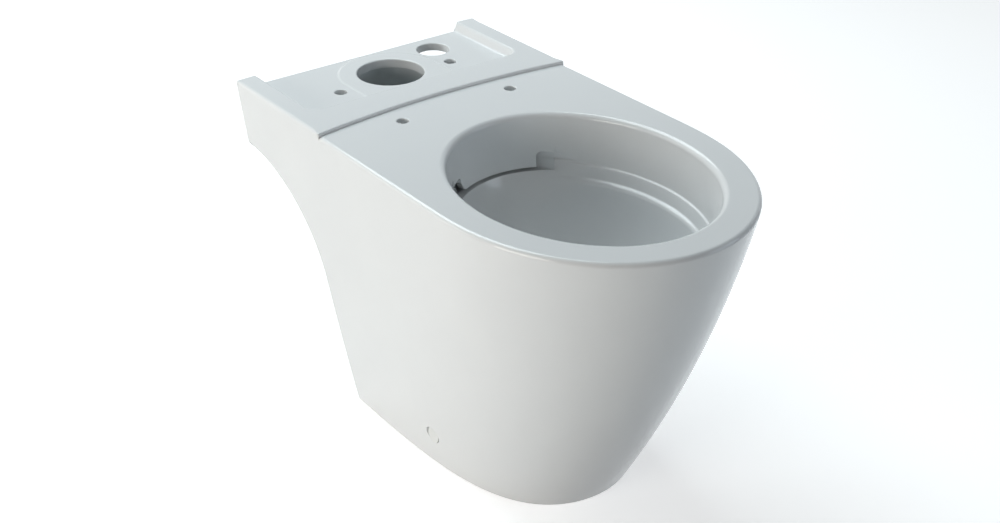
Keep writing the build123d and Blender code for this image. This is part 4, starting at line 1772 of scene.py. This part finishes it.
@dataclass
class Studio:
    """Camera, floor, lamps and surroundings, with places and sizes in metres."""

    azimuth: float = -37.30
    elevation: float = 30.32
    place: tuple[float, float, float] = (-0.868, -1.1141, 1.062)
    lens: float = 50.0
    sensor: float = 36.0
    clip: tuple[float, float] = (0.05, 60.0)
    # The place near the pan's middle that the lamps look at.
    aim: tuple[float, float, float] = (0.0, 0.0, 0.2)
    floor_reach: float = 6.0
    floor_colour: str = "#EDEDED"
    floor_glow: float = 0.55
    air_colour: str = "#DDE4E6"
    air_light: float = 0.03
    seen_colour: str = "#FFFFFF"
    lamps: tuple[SoftBox, ...] = (
        SoftBox("left_softbox", (-2.5, -0.25, 0.62), (1.4, 1.2), 31.0, "#FFFCF6"),
        SoftBox("left_rear_softbox", (-2.0, 2.0, 0.9), (2.0, 1.4), 10.5, "#FFFCF6"),
        SoftBox("top_softbox", (0.0, 1.4, 2.4), (2.0, 1.6), 52.0, "#EFFBFF"),
        SoftBox("right_front_softbox", (2.0, -2.0, 0.9), (1.4, 1.4), 15.0, "#E6F3FF"))

    def _set_up(self, thing: bpy.types.Object, place: Sequence[float], look: Vector) -> None:
        """Puts a camera or a lamp at its place, turned the way it looks.

        Args:
            thing: The camera or lamp.
            place: Its place.
            look: Direction that it looks in.
        """
        thing.location = Vector(place)
        thing.rotation_mode = "QUATERNION"
        thing.rotation_quaternion = look.to_track_quat("-Z", "Y")
        bpy.context.scene.collection.objects.link(thing)

    def camera(self) -> None:
        """Puts the camera where the photograph's was."""
        data = bpy.data.cameras.new("camera")
        data.lens, data.sensor_width, data.sensor_fit = self.lens, self.sensor, "HORIZONTAL"
        data.clip_start, data.clip_end = self.clip
        camera = bpy.data.objects.new("camera", data)
        a, e = math.radians(self.azimuth), math.radians(self.elevation)
        back = Vector((math.sin(a) * math.cos(e), -math.cos(a) * math.cos(e), math.sin(e)))
        self._set_up(camera, self.place, -back)
        bpy.context.scene.camera = camera

    def lamp(self, box: SoftBox) -> None:
        """Adds a soft box that looks at the pan's middle.

        Args:
            box: Its sizes.
        """
        data = bpy.data.lights.new(box.name, "AREA")
        data.shape, (data.size, data.size_y) = "RECTANGLE", box.size
        data.energy, data.color = box.watts, linear(box.colour)[:3]
        look = Vector(self.aim) - Vector(box.place)
        self._set_up(bpy.data.objects.new(box.name, data), box.place, look)

    def _seen(self, tree: bpy.types.NodeTree) -> bpy.types.Node:
        """A node that gives 1 for rays that show the background, seen straight or mirrored.

        Args:
            tree: The node tree of the world or the floor.

        Returns:
            The node.
        """
        path = add_node(tree, "ShaderNodeLightPath")
        mirrored = add_node(tree, "ShaderNodeMath", {"operation": "MAXIMUM"}, {
            0: path.outputs["Is Glossy Ray"], 1: path.outputs["Is Transmission Ray"]})
        return add_node(tree, "ShaderNodeMath", {"operation": "MAXIMUM"}, {
            0: path.outputs["Is Camera Ray"], 1: mirrored.outputs[0]})

    def surroundings(self) -> None:
        """A plain pale world, white to the eye and softer as a light."""
        world = bpy.data.worlds.new("studio_air")
        bpy.context.scene.world = world
        tree = empty_tree(world)
        seen = self._seen(tree)
        lit = add_node(tree, "ShaderNodeBackground", None, {
            "Color": linear(self.air_colour), "Strength": self.air_light})
        shown = add_node(tree, "ShaderNodeBackground", None, {
            "Color": linear(self.seen_colour), "Strength": 1.0})
        mix = add_node(tree, "ShaderNodeMixShader", None, {
            0: seen.outputs[0], 1: lit.outputs[0], 2: shown.outputs[0]})
        add_node(tree, "ShaderNodeOutputWorld", None, {"Surface": mix.outputs[0]})

    def floor(self) -> None:
        """A plain white floor that keeps a faint shadow."""
        reach = self.floor_reach
        mesh = bpy.data.meshes.new("studio_floor")
        corners = [(-reach, -reach, 0), (reach, -reach, 0), (reach, reach, 0), (-reach, reach, 0)]
        mesh.from_pydata(corners, [], [(0, 1, 2, 3)])
        material = bpy.data.materials.new("white_paper")
        tree = empty_tree(material)
        seen = self._seen(tree)
        paper = add_node(tree, "ShaderNodeBsdfDiffuse", None, {"Color": linear(self.floor_colour)})
        level = add_node(tree, "ShaderNodeMath", {"operation": "MULTIPLY"}, {
            0: seen.outputs[0], 1: self.floor_glow})
        glow = add_node(tree, "ShaderNodeEmission", None, {
            "Color": linear(self.seen_colour), "Strength": level.outputs[0]})
        both = add_node(tree, "ShaderNodeAddShader", None, {0: paper.outputs[0], 1: glow.outputs[0]})
        add_node(tree, "ShaderNodeOutputMaterial", None, {"Surface": both.outputs[0]})
        mesh.materials.append(material)
        floor = bpy.data.objects.new("studio_floor", mesh)
        bpy.context.scene.collection.objects.link(floor)

    def build(self) -> None:
        """Sets up the whole studio."""
        self.camera()
        self.floor()
        self.surroundings()
        for box in self.lamps:
            self.lamp(box)
        bpy.context.scene.view_settings.view_transform = "Standard"


@dataclass
class FixingSet:
    """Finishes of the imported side-fixing pieces, which keep their own shapes."""

    finishes: tuple[tuple[str, Finish], ...] = (
        ("floor_bracket", MOULDED_NYLON), ("fixing_bush", MOULDED_POLYPROPYLENE),
        ("side_screw", ZINC_PLATED_STEEL), ("cover_cap", GLOSS_ABS))

    def dress(self) -> None:
        """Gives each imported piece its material."""
        for stem, finish in self.finishes:
            material = finish.make()
            for side in ("left", "right"):
                dress(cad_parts[f"{stem}_{side}"], material)


def dress(piece: bpy.types.Object, material: bpy.types.Material) -> None:
    """Puts one material on all of a piece and reports it.

    Args:
        piece: The piece.
        material: Its material.
    """
    if not piece.material_slots:
        piece.data.materials.append(material)
    for slot in piece.material_slots:
        slot.material = material
    LOG.info("%s: finished in %s", piece.name, material.name)


def main() -> None:
    """Builds the castings, dresses every piece and sets up the studio."""
    logging.basicConfig(level=logging.INFO, format="%(name)s: %(message)s")
    china = GLAZED_CHINA.make()
    trap = Trap()
    made = [
        (BodyShroud().build(), "body_shroud"), (BowlDeck().build(), "bowl_deck"),
        (CisternShelf().build(), "cistern_shelf"), (Bowl().build(), "bowl"),
        (FlushApron().build(), "flush_apron"), (trap.build_trapway(), "trapway"),
        (trap.build_spigot(), "outlet_spigot")]
    for piece, node in made:
        dress(piece, china)
        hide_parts(node)
    # The flush channel's greyer colour is partly painted shade for the dark chamber under the flush
    # hole.
    dress(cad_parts["flush_channel"], THIN_GLAZE_WITH_PAINTED_SHADE.make())
    FixingSet().dress()
    Studio().build()


if __name__ == "__main__":
    main()
